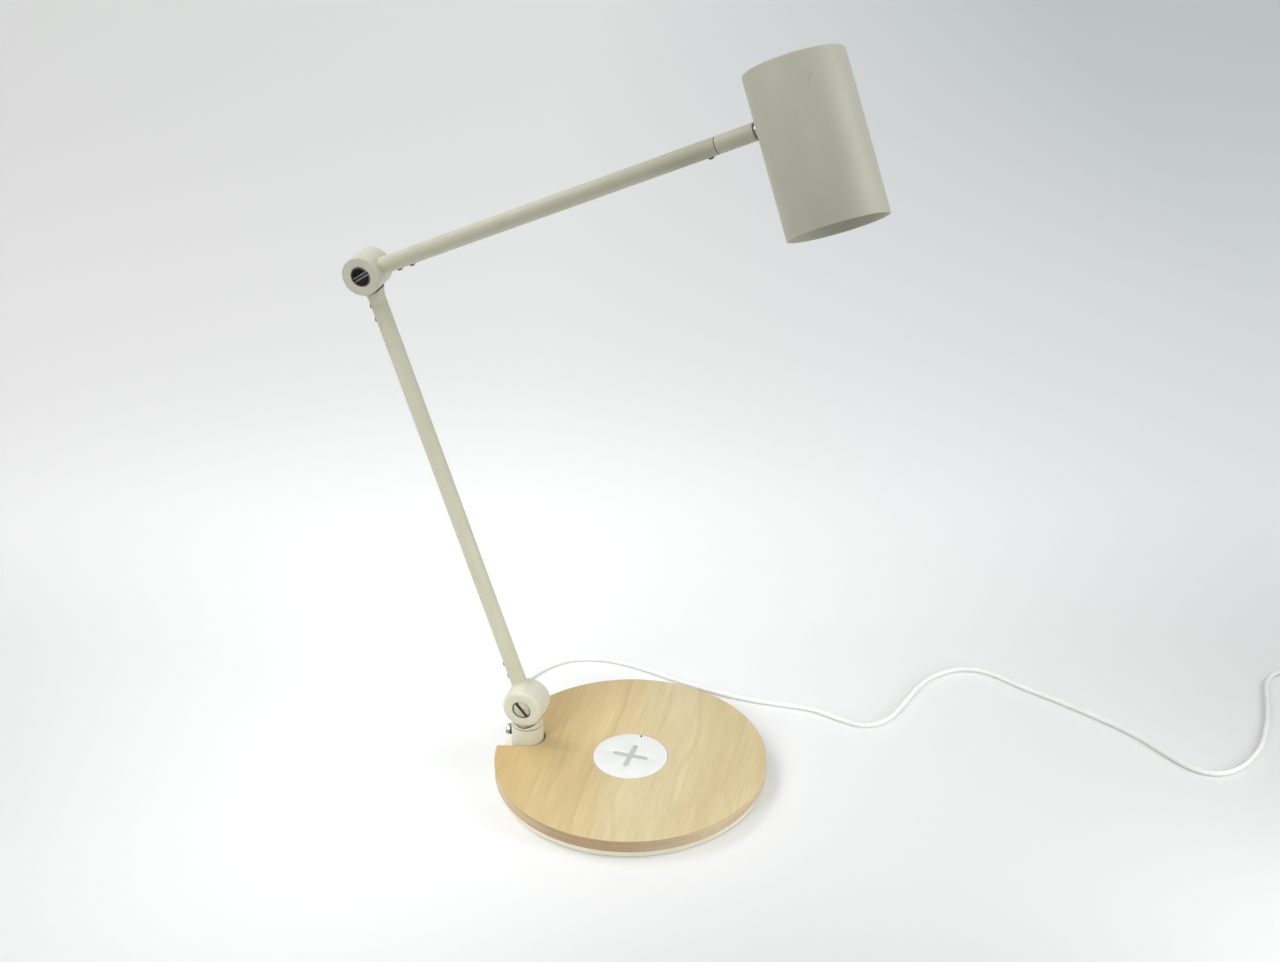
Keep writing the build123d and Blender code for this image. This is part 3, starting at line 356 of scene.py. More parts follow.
def plywood_edge():
    """Sanded edge of the board: faint layers, with painted light that makes the sides pale and the front and
    back browner.
    """
    edge = new_finish("board_edge", (0.46, 0.32, 0.18), 0.55)
    place = add_node(edge, "ShaderNodeTexCoord", {}).outputs["Object"]
    across = add_node(edge, "ShaderNodeSeparateXYZ", {"Vector": place}).outputs["X"]
    aside = add_node(edge, "ShaderNodeMath", {0: across}, "ABSOLUTE").outputs["Value"]
    # Painted light: the edge is pale at the sides and browner at the front and back.
    stretch = {"Value": aside, "From Min": 25 * mm, "From Max": 80 * mm}
    along = add_node(edge, "ShaderNodeMapRange", stretch).outputs["Result"]
    ground = blended(edge, along, (0.42, 0.300, 0.170), (0.58, 0.460, 0.295))
    layers = pattern(edge, 1, 3, (16, 16, 900))
    tones = between(edge, layers, 0.35, (0.88, 0.86, 0.83), 0.65, (1.1, 1.12, 1.15))
    colour = blended(edge, 1.0, ground, tones, "MULTIPLY")
    ends = pattern(edge, 1, 2, (900, 900, 160))
    colour = blended(
        edge,
        between(edge, ends, 0.55, (0, 0, 0), 0.75, (0.3, 0.3, 0.3)),
        colour,
        (0.30, 0.19, 0.10),
    )
    return wear(edge, colour, (ends, 0.5, 0.68), ends, 0.15, 0.06)


joints = {joint["name"]: joint for joint in frame["joints"]}
post_axis = Vector(joints["base_swivel"]["pos_m"]) / mm
disc_radius, disc_top = 98.5, 15
notch_x, notch_y, notch_radius, notch_flare = post_axis.x + 0.5, 0.3, 12.3, 14
pad_hole_radius, lead_angle = 27.3, 150
wood_disc = turn("wood_top", [(0, 6), (disc_radius, 6), (disc_radius, disc_top), (0, disc_top)], 256)
cut(
    wood_disc,
    rod(notch_radius, 5, 16, at(notch_x, notch_y, 0)),
    block((60, 24.5, 20), at(post_axis.x - 30, notch_y, 10)),
    block((60, 12, 20), at(notch_x, notch_y, 10, notch_flare) @ at(-30, -6.2, 0)),
    rod(pad_hole_radius, 5, 16, at(0, 0, 0)),
    block((80, 8.2, 10.6), at(0, 0, 6, lead_angle) @ at(60, 0, 0)),
)
ease(wood_disc, 0.7, 3, 50)
dress(wood_disc, birch_veneer(), "base", "veneer", "wood_disc")
wood_disc.data.materials.append(plywood_edge())
for face in wood_disc.data.polygons:
    if face.normal.z < 0.45:
        face.material_index = 1


# Zinc screws under the plate, and the charger below its cover: cup, board, ferrite and coil.
# They are screwed and seated inside the wood, out of sight once the lamp is built.

def cloudy(name, dark, light, rough, metallic=0.0, scale=90, skin=900, strength=0.1):
    """A finish with a little colour change and a fine skin."""
    made = new_finish(name, light, rough, metallic)
    colour = between(made, pattern(made, scale), 0.3, dark, 0.7, light)
    gloss = (pattern(made, scale * 3), rough - 0.06, rough + 0.08)
    return wear(made, colour, gloss, pattern(made, skin), strength)


def keep(finish, *names):
    """Puts a finish on CAD pieces whose shape is already right."""
    for name in names:
        for slot in frame["nodes"][name].material_slots:
            slot.material = finish


zinc = cloudy("zinc_plate", (0.42, 0.42, 0.41), (0.58, 0.58, 0.56), 0.34, 1.0, 160, 1400)
cup_plastic = cloudy("cup_plastic", (0.58, 0.58, 0.55), (0.66, 0.66, 0.63), 0.55)
board_green = cloudy("board_green", (0.012, 0.075, 0.03), (0.02, 0.12, 0.05), 0.35, 0.0, 240)
ferrite_grey = cloudy("ferrite_grey", (0.03, 0.03, 0.032), (0.055, 0.055, 0.058), 0.6, 0.0, 400)
coil_copper = cloudy("coil_copper", (0.42, 0.16, 0.06), (0.62, 0.28, 0.12), 0.3, 1.0, 500, 2500)
keep(zinc, "base_screws", "charger_screws", "socket_screws", "led_screws", "switch_screws", "neck_nut")
keep(cup_plastic, "charger_housing")
keep(board_green, "charger_board", "switch_board")
keep(ferrite_grey, "charger_ferrite")
keep(coil_copper, "charger_coil")


# Charging pad: a flush disc of white moulded plastic with a soft grey plus sign pressed into it
# and a tiny dark window for the charge light at its back edge.
pad_white = cloudy("pad_white", (0.745, 0.755, 0.735), (0.80, 0.81, 0.79), 0.38, 0.0, 40, 2200, 0.06)
soft_grey = cloudy("soft_grey", (0.44, 0.45, 0.41), (0.53, 0.54, 0.49), 0.7, 0.0, 200, 1800, 0.2)
dark_window = cloudy("dark_window", (0.012, 0.012, 0.013), (0.03, 0.03, 0.032), 0.15, 0.0, 600)


def plus_sign(name, half_length, half_width, low, high):
    """Plus sign with round ends, from two crossed bars."""
    bars = []
    for angle in (0, 90):
        bar = rod(half_width, low, high, Matrix.Identity(4), 48)
        for vertex in bar.data.vertices:
            end = 1 if vertex.co.x > 0 else -1
            vertex.co.x += end * (half_length - half_width) * mm
        bars.append(put(bar, at(0, 0, 0, angle)))
    sign = join(bars[0], bars[1])
    sign.name = name
    return sign


pad_radius, pad_floor, plus_floor, window_y = 27, 13.4, 14.4, 25.5
plus_half_length, plus_half_width, plus_room = 13, 1.7, 0.05
pad_cover = turn(
    "pad_cover",
    [(0, pad_floor), (pad_radius, pad_floor), (pad_radius, disc_top), (0, disc_top)],
    160,
)
cut(
    pad_cover,
    plus_sign("plus_pocket", plus_half_length + plus_room, plus_half_width + plus_room, plus_floor, 15.6),
    rod(1.05, 13, 16, at(0, window_y, 0), 32),
)
ease(pad_cover, 0.25, 2, 50)
dress(pad_cover, pad_white, "base", "white_plastic", "charger_cover")
pad_plus = plus_sign("pad_plus", plus_half_length, plus_half_width, plus_floor, 15.3)
ease(pad_plus, 0.22, 2, 50)
dress(pad_plus, soft_grey, "base", "grey_mark", "charger_cross")
light_window = turn(
    "charge_window",
    [(0, pad_floor), (1, pad_floor), (1, 14.8), (0.7, 14.95), (0, disc_top)],
    32,
)
put(light_window, at(0, window_y, 0))
ease(light_window, 0, 1)
dress(light_window, dark_window, "base", "dark_lens", "charge_light")


# Post: a turned steel socket screwed to the plate, painted in the lamp's cream-grey.
# The upper part turns on a spigot inside it; a fine seam shows between the two.
# Painted light: this is a lighter copy of the arms' cream, for the light from the bright table on the post,
# the barrels and the shoulder's fillet.
table_lit_cream = powder_coat("table_lit_cream", (0.645, 0.630, 0.510), (0.605, 0.590, 0.470), 0.46)
# Black nylon for the real washers, and also for black pieces of painted shade in gaps and seams.
nylon = cloudy("black_washers_and_shade", (0.03, 0.03, 0.03), (0.05, 0.05, 0.05), 0.5)
post = at(post_axis.x, 0, 0)
post_radius, lock_screw_height = 11.7, 19
socket = turn(
    "post_socket_shell",
    [(0, 6), (post_radius, 6), (post_radius, 27.35), (11.35, 27.7), (7.05, 27.7), (7.05, 11), (0, 11)],
    128,
)
side_screw = at(0, 0, lock_screw_height) @ Matrix.Rotation(math.radians(-90), 4, "Y")
cut(socket, rod(2.05, 0, 14, side_screw, 48))
ease(socket, 0.12, 2)
put(socket, post)
dress(socket, table_lit_cream, "base", "cream_paint", "post_socket")
keep(nylon, "shoulder_washers", "elbow_washers")


# Lock screw: a dull nickel cap screw in the side of the socket, with a black washer under it that is painted
# shade for the gap between head and post.
# Its tip runs in the spigot's groove and stops the arm from turning right round.

def plain_ring(name, inner, outer, low, high, steps):
    """Plain ring between two radii and two heights."""
    return turn(name, [(inner, low), (outer, low), (outer, high), (inner, high), (inner, low)], steps)


dull_nickel = cloudy("dull_nickel", (0.28, 0.28, 0.27), (0.42, 0.41, 0.40), 0.3, 1.0, 160, 900, 0.05)
screw_tip = [(0, 5.6), (1.6, 5.6), (1.6, 7.1), (2, 7.1), (2, 12.6)]
screw_cap = [(3.5, 12.6), (3.8, 12.9), (3.8, 15.6), (3.4, 16), (0, 16)]
cap_screw = turn("lock_cap_screw", screw_tip + screw_cap, 64)
cut(cap_screw, rod(2.3, 14.3, 18, Matrix.Identity(4), 6))
ease(cap_screw, 0.12, 2)
put(cap_screw, post @ side_screw)
dress(cap_screw, dull_nickel, "base", "bright_metal", "lock_screw")
# Painted shade: a black ring in the gap between the cap and the post.
cap_gap_shade = plain_ring("lock_screw_gap_shade", 2.1, 3.75, 10.8, 12.58, 48)
put(cap_gap_shade, post @ side_screw)
cut(cap_gap_shade, rod(post_radius + 0.04, 10, 27, post))
ease(cap_gap_shade, 0, 1)
dress(cap_gap_shade, nylon, "base", "nylon")


# Turning saddle: the top of the post, cupped for the hinge barrel, with a flat tongue
# that stands up into the barrel's slot and carries the hinge bolt.

def frame_at(origin, x_dir, z_dir):
    """A place with its own X and Z directions."""
    z_axis = Vector(z_dir).normalized()
    y_axis = z_axis.cross(Vector(x_dir)).normalized()
    x_axis = y_axis.cross(z_axis)
    return Matrix.Translation(origin) @ Matrix((x_axis, y_axis, z_axis)).transposed().to_4x4()


shoulder = Vector(joints["shoulder_hinge"]["pos_m"])
elbow = Vector(joints["elbow_hinge"]["pos_m"])
head_middle = Vector(joints["head_swivel"]["pos_m"])
lower_way = (elbow - shoulder).normalized()
upper_way = (head_middle - elbow).normalized()
lower_side = lower_way.cross((0, 1, 0))
upper_side = -upper_way.cross((0, 1, 0))
front = (0, -1, 0)
shoulder_hinge = frame_at(shoulder, (1, 0, 0), front)
elbow_hinge = frame_at(elbow, (1, 0, 0), front)
lower_arm = frame_at(shoulder, lower_side, lower_way)
upper_arm = frame_at(elbow, upper_side, upper_way)
elbow_seat = frame_at(elbow, lower_side, -lower_way)


def tongue(hinge, angle, reach):
    """Flat tongue with a round eye, from the hinge out in one direction."""
    eye = rod(9.5, -3, 3, hinge, 96)
    turned = hinge @ Matrix.Rotation(math.radians(angle), 4, "Z")
    return join(eye, block((reach, 9, 6), turned @ at(reach / 2, 0, 0)))


def cradle_shade_strip(name, cradle, outer, within, hinge, inner):
    """Dark strip of painted shade along a cradle's edge where another shape lets it show, for the shadow in
    the gap.
    """
    strip = rod(outer, -14, 14, cradle, 160)
    strip.name = name
    strip.data.name = name
    cut(strip, rod(inner, -15, 15, hinge, 160))
    combine(strip, "INTERSECT", within)
    return ease(strip, 0, 1)


spigot = [(0, 11.5), (7, 11.5), (7, 28.2)]
saddle_wall = [(11.35, 28.2), (post_radius, 28.55), (post_radius, 37.85), (0, 37.85)]
saddle = turn("turning_saddle", spigot + saddle_wall, 128)
put(saddle, post)
cradle_radius, bore_radius = 15.5, 3.05
offset_cradle = shoulder_hinge @ at(0.5, -0.1, 0)
for cradle in (shoulder_hinge, offset_cradle):
    cut(saddle, rod(cradle_radius, -15, 15, cradle, 160))
join(saddle, tongue(shoulder_hinge, -90, 16.4))
cut(saddle, rod(bore_radius, -5, 5, shoulder_hinge, 64))
ease(saddle, 0.12, 2)
dress(saddle, table_lit_cream, "swivel", "cream_paint", "post_saddle")
# Painted shade: a flush black strip round the cradle's edge stands for the shadow in the gap under the
# shoulder barrel.
saddle_shade_band = cut(rod(post_radius + 0.03, 28.6, 37.5, post), rod(11.3, 28, 38, post))
cut(saddle_shade_band, block((20, 40, 40), shoulder_hinge @ at(-14, -15, 0)))
saddle_shade_strip = cradle_shade_strip(
    "saddle_shade_strip", offset_cradle, cradle_radius - 0.05, saddle_shade_band, shoulder_hinge, 15.03
)
dress(saddle_shade_strip, nylon, "swivel", "nylon")
seam_ring = plain_ring("swivel_seam_ring", 7.1, 11.4, 27.72, 28.18, 96)
ease(seam_ring, 0, 1)
put(seam_ring, post)
dress(seam_ring, nylon, "base", "nylon", "swivel_washer")


# Hinge barrels: turned steel, edges well rounded, bored for the bolt and sunk at both faces
# for its head and nut; a slot below lets the tongue swing. Coloured in a lighter copy of the arms' cream, as
# painted light from the bright table below.
barrel_half, recess_floor, recess_radius = 11.1, 7.6, 7.1
slot_half, tongue_room, eye_room = 3.9, 4.9, 10.1
quarter_turn = [math.radians(15 * index) for index in range(7)]


def barrel(name, hinge, radius, edge, low, high):
    """Barrel with bolt recesses and the slot that its tongue sweeps."""
    rounded = [
        (radius - edge * (1 - math.sin(angle)), barrel_half - edge * (1 - math.cos(angle)))
        for angle in quarter_turn
    ]
    recess = [(bore_radius, recess_floor), (recess_radius, recess_floor), (recess_radius, barrel_half)]
    upper = recess + rounded
    outline = upper + [(radius, -height) for radius, height in reversed(upper)] + [upper[0]]
    made = turn(name, outline, 128)
    wedge = rod(20, -slot_half, slot_half, Matrix.Identity(4), 96)
    only(wedge)
    bpy.ops.object.mode_set(mode="EDIT")
    for angle, side in ((low, -1), (high, 1)):
        way = Vector((math.cos(math.radians(angle)), math.sin(math.radians(angle)), 0))
        outward = Vector((-way.y, way.x, 0)) * side
        bpy.ops.mesh.select_all(action="SELECT")
        bpy.ops.mesh.bisect(
            plane_co=outward * tongue_room * mm,
            plane_no=outward,
            use_fill=True,
            clear_outer=True,
        )
    bpy.ops.object.mode_set(mode="OBJECT")
    cut(made, rod(eye_room, -slot_half, slot_half, Matrix.Identity(4), 96), wedge)
    ease(made, 0.18, 2, 50)
    return put(made, hinge)


shoulder_radius, shoulder_edge = 15, 3
shoulder_barrel = barrel(
    "shoulder_barrel_shell", shoulder_hinge, shoulder_radius, shoulder_edge, -90 - 33.5, -90 + 35.5
)
dress(shoulder_barrel, table_lit_cream, "lower_arm", "cream_paint", "shoulder_barrel")


# Hinge bolts and nuts: slotted round heads that sit just back in the barrels' faces, each in a black collar
# of painted shade, with painted shade in the slots.
# The lower head is plain bright steel; the upper one is near black, a painted dark reflection on chrome,
# with painted highlights on its slot edges and ledge; the nuts are zinc.
bright_steel = cloudy("bright_steel", (0.44, 0.42, 0.34), (0.57, 0.54, 0.44), 0.34, 1.0, 200, 1500)
slot_shade_black = cloudy("slot_shade_black", (0.012, 0.012, 0.012), (0.03, 0.03, 0.028), 0.5, 0.0, 300)
bolt_top, nut_face, nut_seat = 10.6, -10.6, -recess_floor
ledge_depth, slot_depth = 0.3, 1.3
bolt_shank = [(0, nut_face), (3, nut_face), (3, recess_floor)]
bolt_outline = bolt_shank + [(6.35, recess_floor), (6.35, 10.2), (6.0, bolt_top), (0, bolt_top)]
nut_side = [(7, nut_seat), (7, -10.3), (6.7, nut_face)]
nut_outline = [(bore_radius, nut_seat), *nut_side, (bore_radius, nut_face), (bore_radius, nut_seat)]
collar_top = [(7.05, 10.2), (6.9, 10.35), (6.5, 10.35), (6.4, 10.2)]
collar_outline = [(6.4, 7.65), (7.05, 7.65), *collar_top, (6.4, 7.65)]


def slotted(name, outline, top, slot_angle, slot_width, ledge=0.0):
    """Turned head with a screwdriver slot across it, not yet in its place."""
    head = turn(name, outline, 96)
    turned = Matrix.Rotation(math.radians(slot_angle), 4, "Z")
    if ledge:
        cut(head, block((20, slot_width + 2 * ledge, 2 * ledge_depth), turned @ at(0, 0, top)))
    cut(head, block((20, slot_width, 2 * slot_depth), turned @ at(0, 0, top)))
    return ease(head, 0.12, 2)


def paint_slot_shade(head, top, slot_angle, slot_width, black):
    """Paints shade on the faces inside a slot with a dark finish."""
    head.data.materials.append(black)
    turned = Matrix.Rotation(math.radians(-slot_angle), 4, "Z")
    for face in head.data.polygons:
        middle = turned @ face.center
        sunk = top - slot_depth - 0.1 < middle.z / mm < top - 0.14
        face.material_index = int(sunk and abs(middle.y) < (slot_width / 2 + 0.01) * mm)


def collar(name, hinge, body):
    """Black ring of painted shade between a bolt's head and its recess, for the shadow in the gap."""
    made = turn(name, collar_outline, 96)
    ease(made, 0, 1)
    put(made, hinge)
    return dress(made, nylon, body, "nylon")


slot_angle, slot_width = -52, 2.4
shoulder_bolt = slotted("shoulder_bolt_head", bolt_outline, bolt_top, slot_angle, slot_width)
dress(shoulder_bolt, bright_steel, "lower_arm", "bright_metal", "shoulder_bolt")
paint_slot_shade(shoulder_bolt, bolt_top, slot_angle, slot_width, slot_shade_black)
put(shoulder_bolt, shoulder_hinge)
collar("shoulder_bolt_collar", shoulder_hinge, "lower_arm")
shoulder_nut = slotted("shoulder_round_nut", nut_outline, nut_face, 0, 2)
put(shoulder_nut, shoulder_hinge)
dress(shoulder_nut, zinc, "lower_arm", "steel", "shoulder_nut")


# Lower arm: a thin-walled steel tube, saddle-cut and welded to its barrel with a soft fillet
# of paint, open at the top over the elbow saddle's stem; small round-headed screws hold it.
tube_radius, tube_bore = 5.75, 4.75


def arm_tube(name, length, seat, arm, lip):
    """Painted tube, cut round at its start to sit on a barrel, with a chamfered lip at its end."""
    outside = [(tube_radius, 0), (tube_radius, length - lip), (tube_radius - lip, length)]
    made = turn(name, outside + [(tube_bore, length), (tube_bore, 0), (tube_radius, 0)], 96)
    across = Matrix.Rotation(math.radians(90), 4, "X")
    cut(made, rod(seat + 0.02, -12, 12, across, 192))
    ease(made, 0.12, 2, 50)
    return put(made, arm)


def repeated(first, places):
    """Puts a piece and its copies in their places and makes one piece of them."""
    made = [first]
    for _ in places[1:]:
        piece = first.copy()
        piece.data = first.data.copy()
        bpy.context.scene.collection.objects.link(piece)
        made.append(piece)
    for piece, place in zip(made, places):
        put(piece, place)
    only(first)
    for piece in made:
        piece.select_set(True)
    if len(made) > 1:
        bpy.ops.object.join()
    return first


def dome_screws(name, heights, arm):
    """Small round-headed screws in a row along the tube's side, each with a hex socket."""
    first = turn(
        name,
        [(0, -2.9), (1.25, -2.9), (1.25, 0), (2.05, 0), (2, 0.4), (1.7, 0.8), (1.1, 1.1), (0, 1.2)],
        40,
    )
    cut(first, rod(1.0, 0.7, 2, Matrix.Identity(4), 6))
    ease(first, 0, 1)
    outward = Matrix.Rotation(math.radians(90), 4, "Y")
    return repeated(first, [arm @ at(tube_radius, 0, height) @ outward for height in heights])


lower_length = (elbow - shoulder).length / mm
cream = powder_coat("arm_cream", (0.600, 0.588, 0.455), (0.560, 0.548, 0.420), 0.46)
lower_tube = arm_tube("lower_arm_tube", lower_length - 20.5, shoulder_radius, lower_arm, 0.1)
dress(lower_tube, cream, "lower_arm", "cream_paint", "lower_tube")
# Painted shade: the small screws' steel is dark for the shade round their heads.
shade_dark_screw_steel = cloudy("shade_dark_screw_steel", (0.13, 0.13, 0.125), (0.24, 0.24, 0.23), 0.3, 1.0, 300, 1500)
lower_screws = dome_screws("lower_dome_screws", (24, 34, lower_length - 24, lower_length - 34), lower_arm)
dress(lower_screws, shade_dark_screw_steel, "lower_arm", "steel", "lower_tube_screws")
lead_jacket = cloudy("lead_jacket", (0.74, 0.74, 0.70), (0.82, 0.82, 0.79), 0.55, 0.0, 120, 1500)
keep(lead_jacket, "lower_lead", "upper_lead", "base_lead")

fillet_radius = 3.8
fillet_outline = []
for angle in quarter_turn:
    out, up = fillet_radius * (1 - math.cos(angle)), fillet_radius * (1 - math.sin(angle))
    fillet_outline.append((tube_radius + out, shoulder_radius + up))
fillet_back = [(9.2, 14.5), (5.4, 14.5), fillet_outline[0]]
paint_fillet = turn("shoulder_paint_fillet", fillet_outline + fillet_back, 96)
flat_half = barrel_half - shoulder_edge
for vertex in paint_fillet.data.vertices:
    past_flat = max(abs(vertex.co.y) / mm - flat_half, 0)
    barrel_radius = shoulder_radius - shoulder_edge + math.sqrt(shoulder_edge**2 - past_flat**2)
    seat_height = math.sqrt(barrel_radius**2 - (vertex.co.x / mm) ** 2)
    vertex.co.z -= (shoulder_radius - seat_height) * mm
ease(paint_fillet, 0, 1, 60)
put(paint_fillet, lower_arm)
dress(paint_fillet, table_lit_cream, "lower_arm", "cream_paint")


# Elbow saddle: a flared cup on the top of the lower tube, with a stem inside the tube
# and a tongue up into the elbow's barrel; a dark strip of painted shade round its cup shows the gap under
# the barrel.
elbow_saddle = turn(
    "elbow_saddle_shell",
    [(0, 9.5), (7.9, 9.5), (7.7, 11.6), (7.05, 13.6), (6.35, 15.8), (5.95, 18), (5.8, 20.2),
     (5.765, 22), (4.7, 22), (4.7, 40), (0, 40)],
    96,
)
put(elbow_saddle, elbow_seat)
cut(elbow_saddle, rod(14.55, -15, 15, elbow_hinge, 160))
elbow_down = math.degrees(math.atan2(-lower_way.z, -lower_way.x))
join(elbow_saddle, tongue(elbow_hinge, elbow_down, 17.2))
cut(elbow_saddle, rod(bore_radius, -5, 5, elbow_hinge, 64))
clean(elbow_saddle, 0.06)
ease(elbow_saddle, 0.2, 2, 50)
dress(elbow_saddle, cream, "lower_arm", "cream_paint", "elbow_saddle")
# Painted shade: a black strip in the cup's rim stands for the shadow in the gap under the elbow barrel.
elbow_shade_mask = turn(
    "elbow_shade_mask",
    [(6, 9.5), (7.93, 9.5), (7.73, 11.6), (7.08, 13.6), (6.38, 15.8), (6, 15.8), (6, 9.5)],
    96,
)
put(elbow_shade_mask, elbow_seat)
elbow_shade_strip = cradle_shade_strip("elbow_shade_strip", elbow_hinge, 14.5, elbow_shade_mask, elbow_hinge, 13.6)
dress(elbow_shade_strip, nylon, "lower_arm", "nylon")


# Elbow barrel with its dark bolt and zinc nut: the same turning as the shoulder's,
# with a wider slot, because the upper arm folds further.
elbow_radius, elbow_edge = 13.5, 0.8
elbow_barrel = barrel(
    "elbow_barrel_shell", elbow_hinge, elbow_radius, elbow_edge, elbow_down - 73.5, elbow_down + 9.5
)
dress(elbow_barrel, table_lit_cream, "upper_arm", "cream_paint", "elbow_barrel")
# Painted reflection: the elbow bolt's chrome is near black, for the dark surroundings it mirrors.
dark_chrome = cloudy("dark_chrome", (0.010, 0.010, 0.010), (0.025, 0.025, 0.025), 0.2, 1.0, 150, 900, 0.04)
highlight_chrome = cloudy("highlight_chrome", (0.26, 0.255, 0.24), (0.38, 0.37, 0.35), 0.42, 1.0, 400, 900, 0.04)
slot_angle, slot_width, highlight_ledge = 35, 1.8, 0.5
elbow_bolt = slotted("elbow_bolt_head", bolt_outline, bolt_top, slot_angle, slot_width, highlight_ledge)
dress(elbow_bolt, dark_chrome, "upper_arm", "dark_chrome", "elbow_bolt")
paint_slot_shade(elbow_bolt, bolt_top, slot_angle, slot_width, slot_shade_black)
# Painted highlights: a brighter chrome on the slot's edges and ledge for the glints of light along them.
elbow_bolt.data.materials.append(highlight_chrome)
for face in elbow_bolt.data.polygons:
    depth = bolt_top - face.center.z / mm
    highlight_edge = depth < 0.6 and 0.15 < face.normal.z < 0.97
    highlight_ledge_face = face.normal.z > 0.9 and abs(depth - ledge_depth) < 0.1
    if highlight_edge or highlight_ledge_face:
        face.material_index = 2
put(elbow_bolt, elbow_hinge)
collar("elbow_bolt_collar", elbow_hinge, "upper_arm")
elbow_nut = slotted("elbow_round_nut", nut_outline, nut_face, 0, 2)
put(elbow_nut, elbow_hinge)
dress(elbow_nut, zinc, "upper_arm", "steel", "elbow_nut")


# Upper arm: the same tube as the lower one, cut square at the seam with the head's bushing.
# Two screws hold it to the barrel's stem and a third one stops the head's turn.
upper_length = (head_middle - elbow).length / mm
upper_tube = arm_tube("upper_arm_tube", upper_length - 60.6, elbow_radius, upper_arm, 0.45)
dress(upper_tube, cream, "upper_arm", "cream_paint", "upper_tube")
upper_screws = dome_screws("upper_dome_screws", (24, 34), upper_arm)
dress(upper_screws, shade_dark_screw_steel, "upper_arm", "steel", "upper_tube_screws")
stop_screw = dome_screws("head_stop_screw", (upper_length - 67.3,), upper_arm)
dress(stop_screw, shade_dark_screw_steel, "upper_arm", "steel", "head_lock_screw")


# Head bushing and neck: a painted sleeve that turns in the tube's end, cut square before the
# shade, and a bright hollow neck that clamps the shade to it.
head_up = -Vector(joints["power_button_press"]["axis"]).normalized()
arm_end = frame_at(head_middle, -head_up, -upper_way)
head = frame_at(head_middle, -upper_way, head_up)
bushing_body = [(3.3, 34.4), (tube_radius, 34.4), (tube_radius, 60.05), (5.3, 60.5), (4.7, 60.5)]
bushing_stem = [(4.7, 80.5), (2, 80.5), (2, 48), (3.3, 48), (3.3, 34.4)]
bushing = turn("head_bushing_sleeve", bushing_body + bushing_stem, 96)
ease(bushing, 0.1, 2)
put(bushing, arm_end)
dress(bushing, cream, "head", "cream_paint", "head_bushing")
# Painted shade: a black ring sunk in the seam between bushing and tube, for the shadow in the groove.
bushing_seam_shade = plain_ring("bushing_seam_ring", 4.9, 5.52, 60.2, 60.9, 64)
ease(bushing_seam_shade, 0, 1)
put(bushing_seam_shade, arm_end)
dress(bushing_seam_shade, nylon, "head", "nylon")
chrome = cloudy("bright_chrome", (0.30, 0.295, 0.285), (0.43, 0.42, 0.41), 0.26, 1.0, 120, 900, 0.03)
neck_flange = [(3.25, 32.05), (4.1, 32.05), (4.1, 34.2), (3.25, 34.2)]
neck_outline = [(2, 23.6), (3.25, 23.6), *neck_flange, (3.25, 47.8), (2, 47.8), (2, 23.6)]
neck = turn("head_neck_tube", neck_outline, 72)
ease(neck, 0.12, 2)
put(neck, arm_end)
dress(neck, chrome, "head", "bright_metal", "head_neck")


# Shade: a spun aluminium drum with a closed top and a crisp lower rim, painted inside and out.
# The push button comes up through the middle of the top.
shade_cream = powder_coat("shade_cream", (0.590, 0.585, 0.480), (0.560, 0.555, 0.450), 0.42)


def scratched(finish, start, end, width, colour):
    """A fine scratch in the paint between two places on the piece, in millimetres."""
    paint = shader_of(finish).inputs["Base Color"].links[0].from_socket
    reach = (Vector(end) - Vector(start)) * mm
    way = reach.normalized()

    def vector_step(operation, sockets):
        """One step of vector arithmetic on the place."""
        return add_node(finish, "ShaderNodeVectorMath", sockets, operation).outputs

    place = add_node(finish, "ShaderNodeTexCoord", {}).outputs["Object"]
    from_start = vector_step("SUBTRACT", {0: place, 1: Vector(start) * mm})["Vector"]
    along = vector_step("DOT_PRODUCT", {0: from_start, 1: way})["Value"]
    limits = {"Value": along, "From Max": reach.length, "To Max": reach.length}
    held = add_node(finish, "ShaderNodeMapRange", limits).outputs["Result"]
    nearest = vector_step("SCALE", {0: way, "Scale": held})["Vector"]
    away = vector_step("DISTANCE", {0: from_start, 1: nearest})["Value"]
    fading = {"Value": away, "From Min": 0.3 * width * mm, "From Max": width * mm, "To Min": 1, "To Max": 0}
    mark = add_node(finish, "ShaderNodeMapRange", fading).outputs["Result"]
    plug(finish, shader_of(finish), {"Base Color": blended(finish, mark, paint, colour)})


scratched(shade_cream, (119.7, -18.3, 538.4), (119.2, -22.2, 532.8), 0.42, (0.44, 0.44, 0.34))
scratched(shade_cream, (119.6, -27.0, 524.0), (119.4, -28.4, 521.2), 0.4, (0.49, 0.485, 0.385))
shade_outside = [(30.8, -70.7), (32, -70.7), (32, 30.4), (31.7, 31), (31.1, 31.3), (6.1, 31.3)]
shade_inside = [(6.1, 29.8), (30.8, 29.8), (30.8, -70.7)]
shade = turn("shade_drum", shade_outside + shade_inside, 192)
cut(shade, rod(3.3, 20, 40, Matrix.Rotation(math.radians(90), 4, "Y"), 64))
ease(shade, 0.3, 3)
put(shade, head)
dress(shade, shade_cream, "head", "cream_paint", "shade")


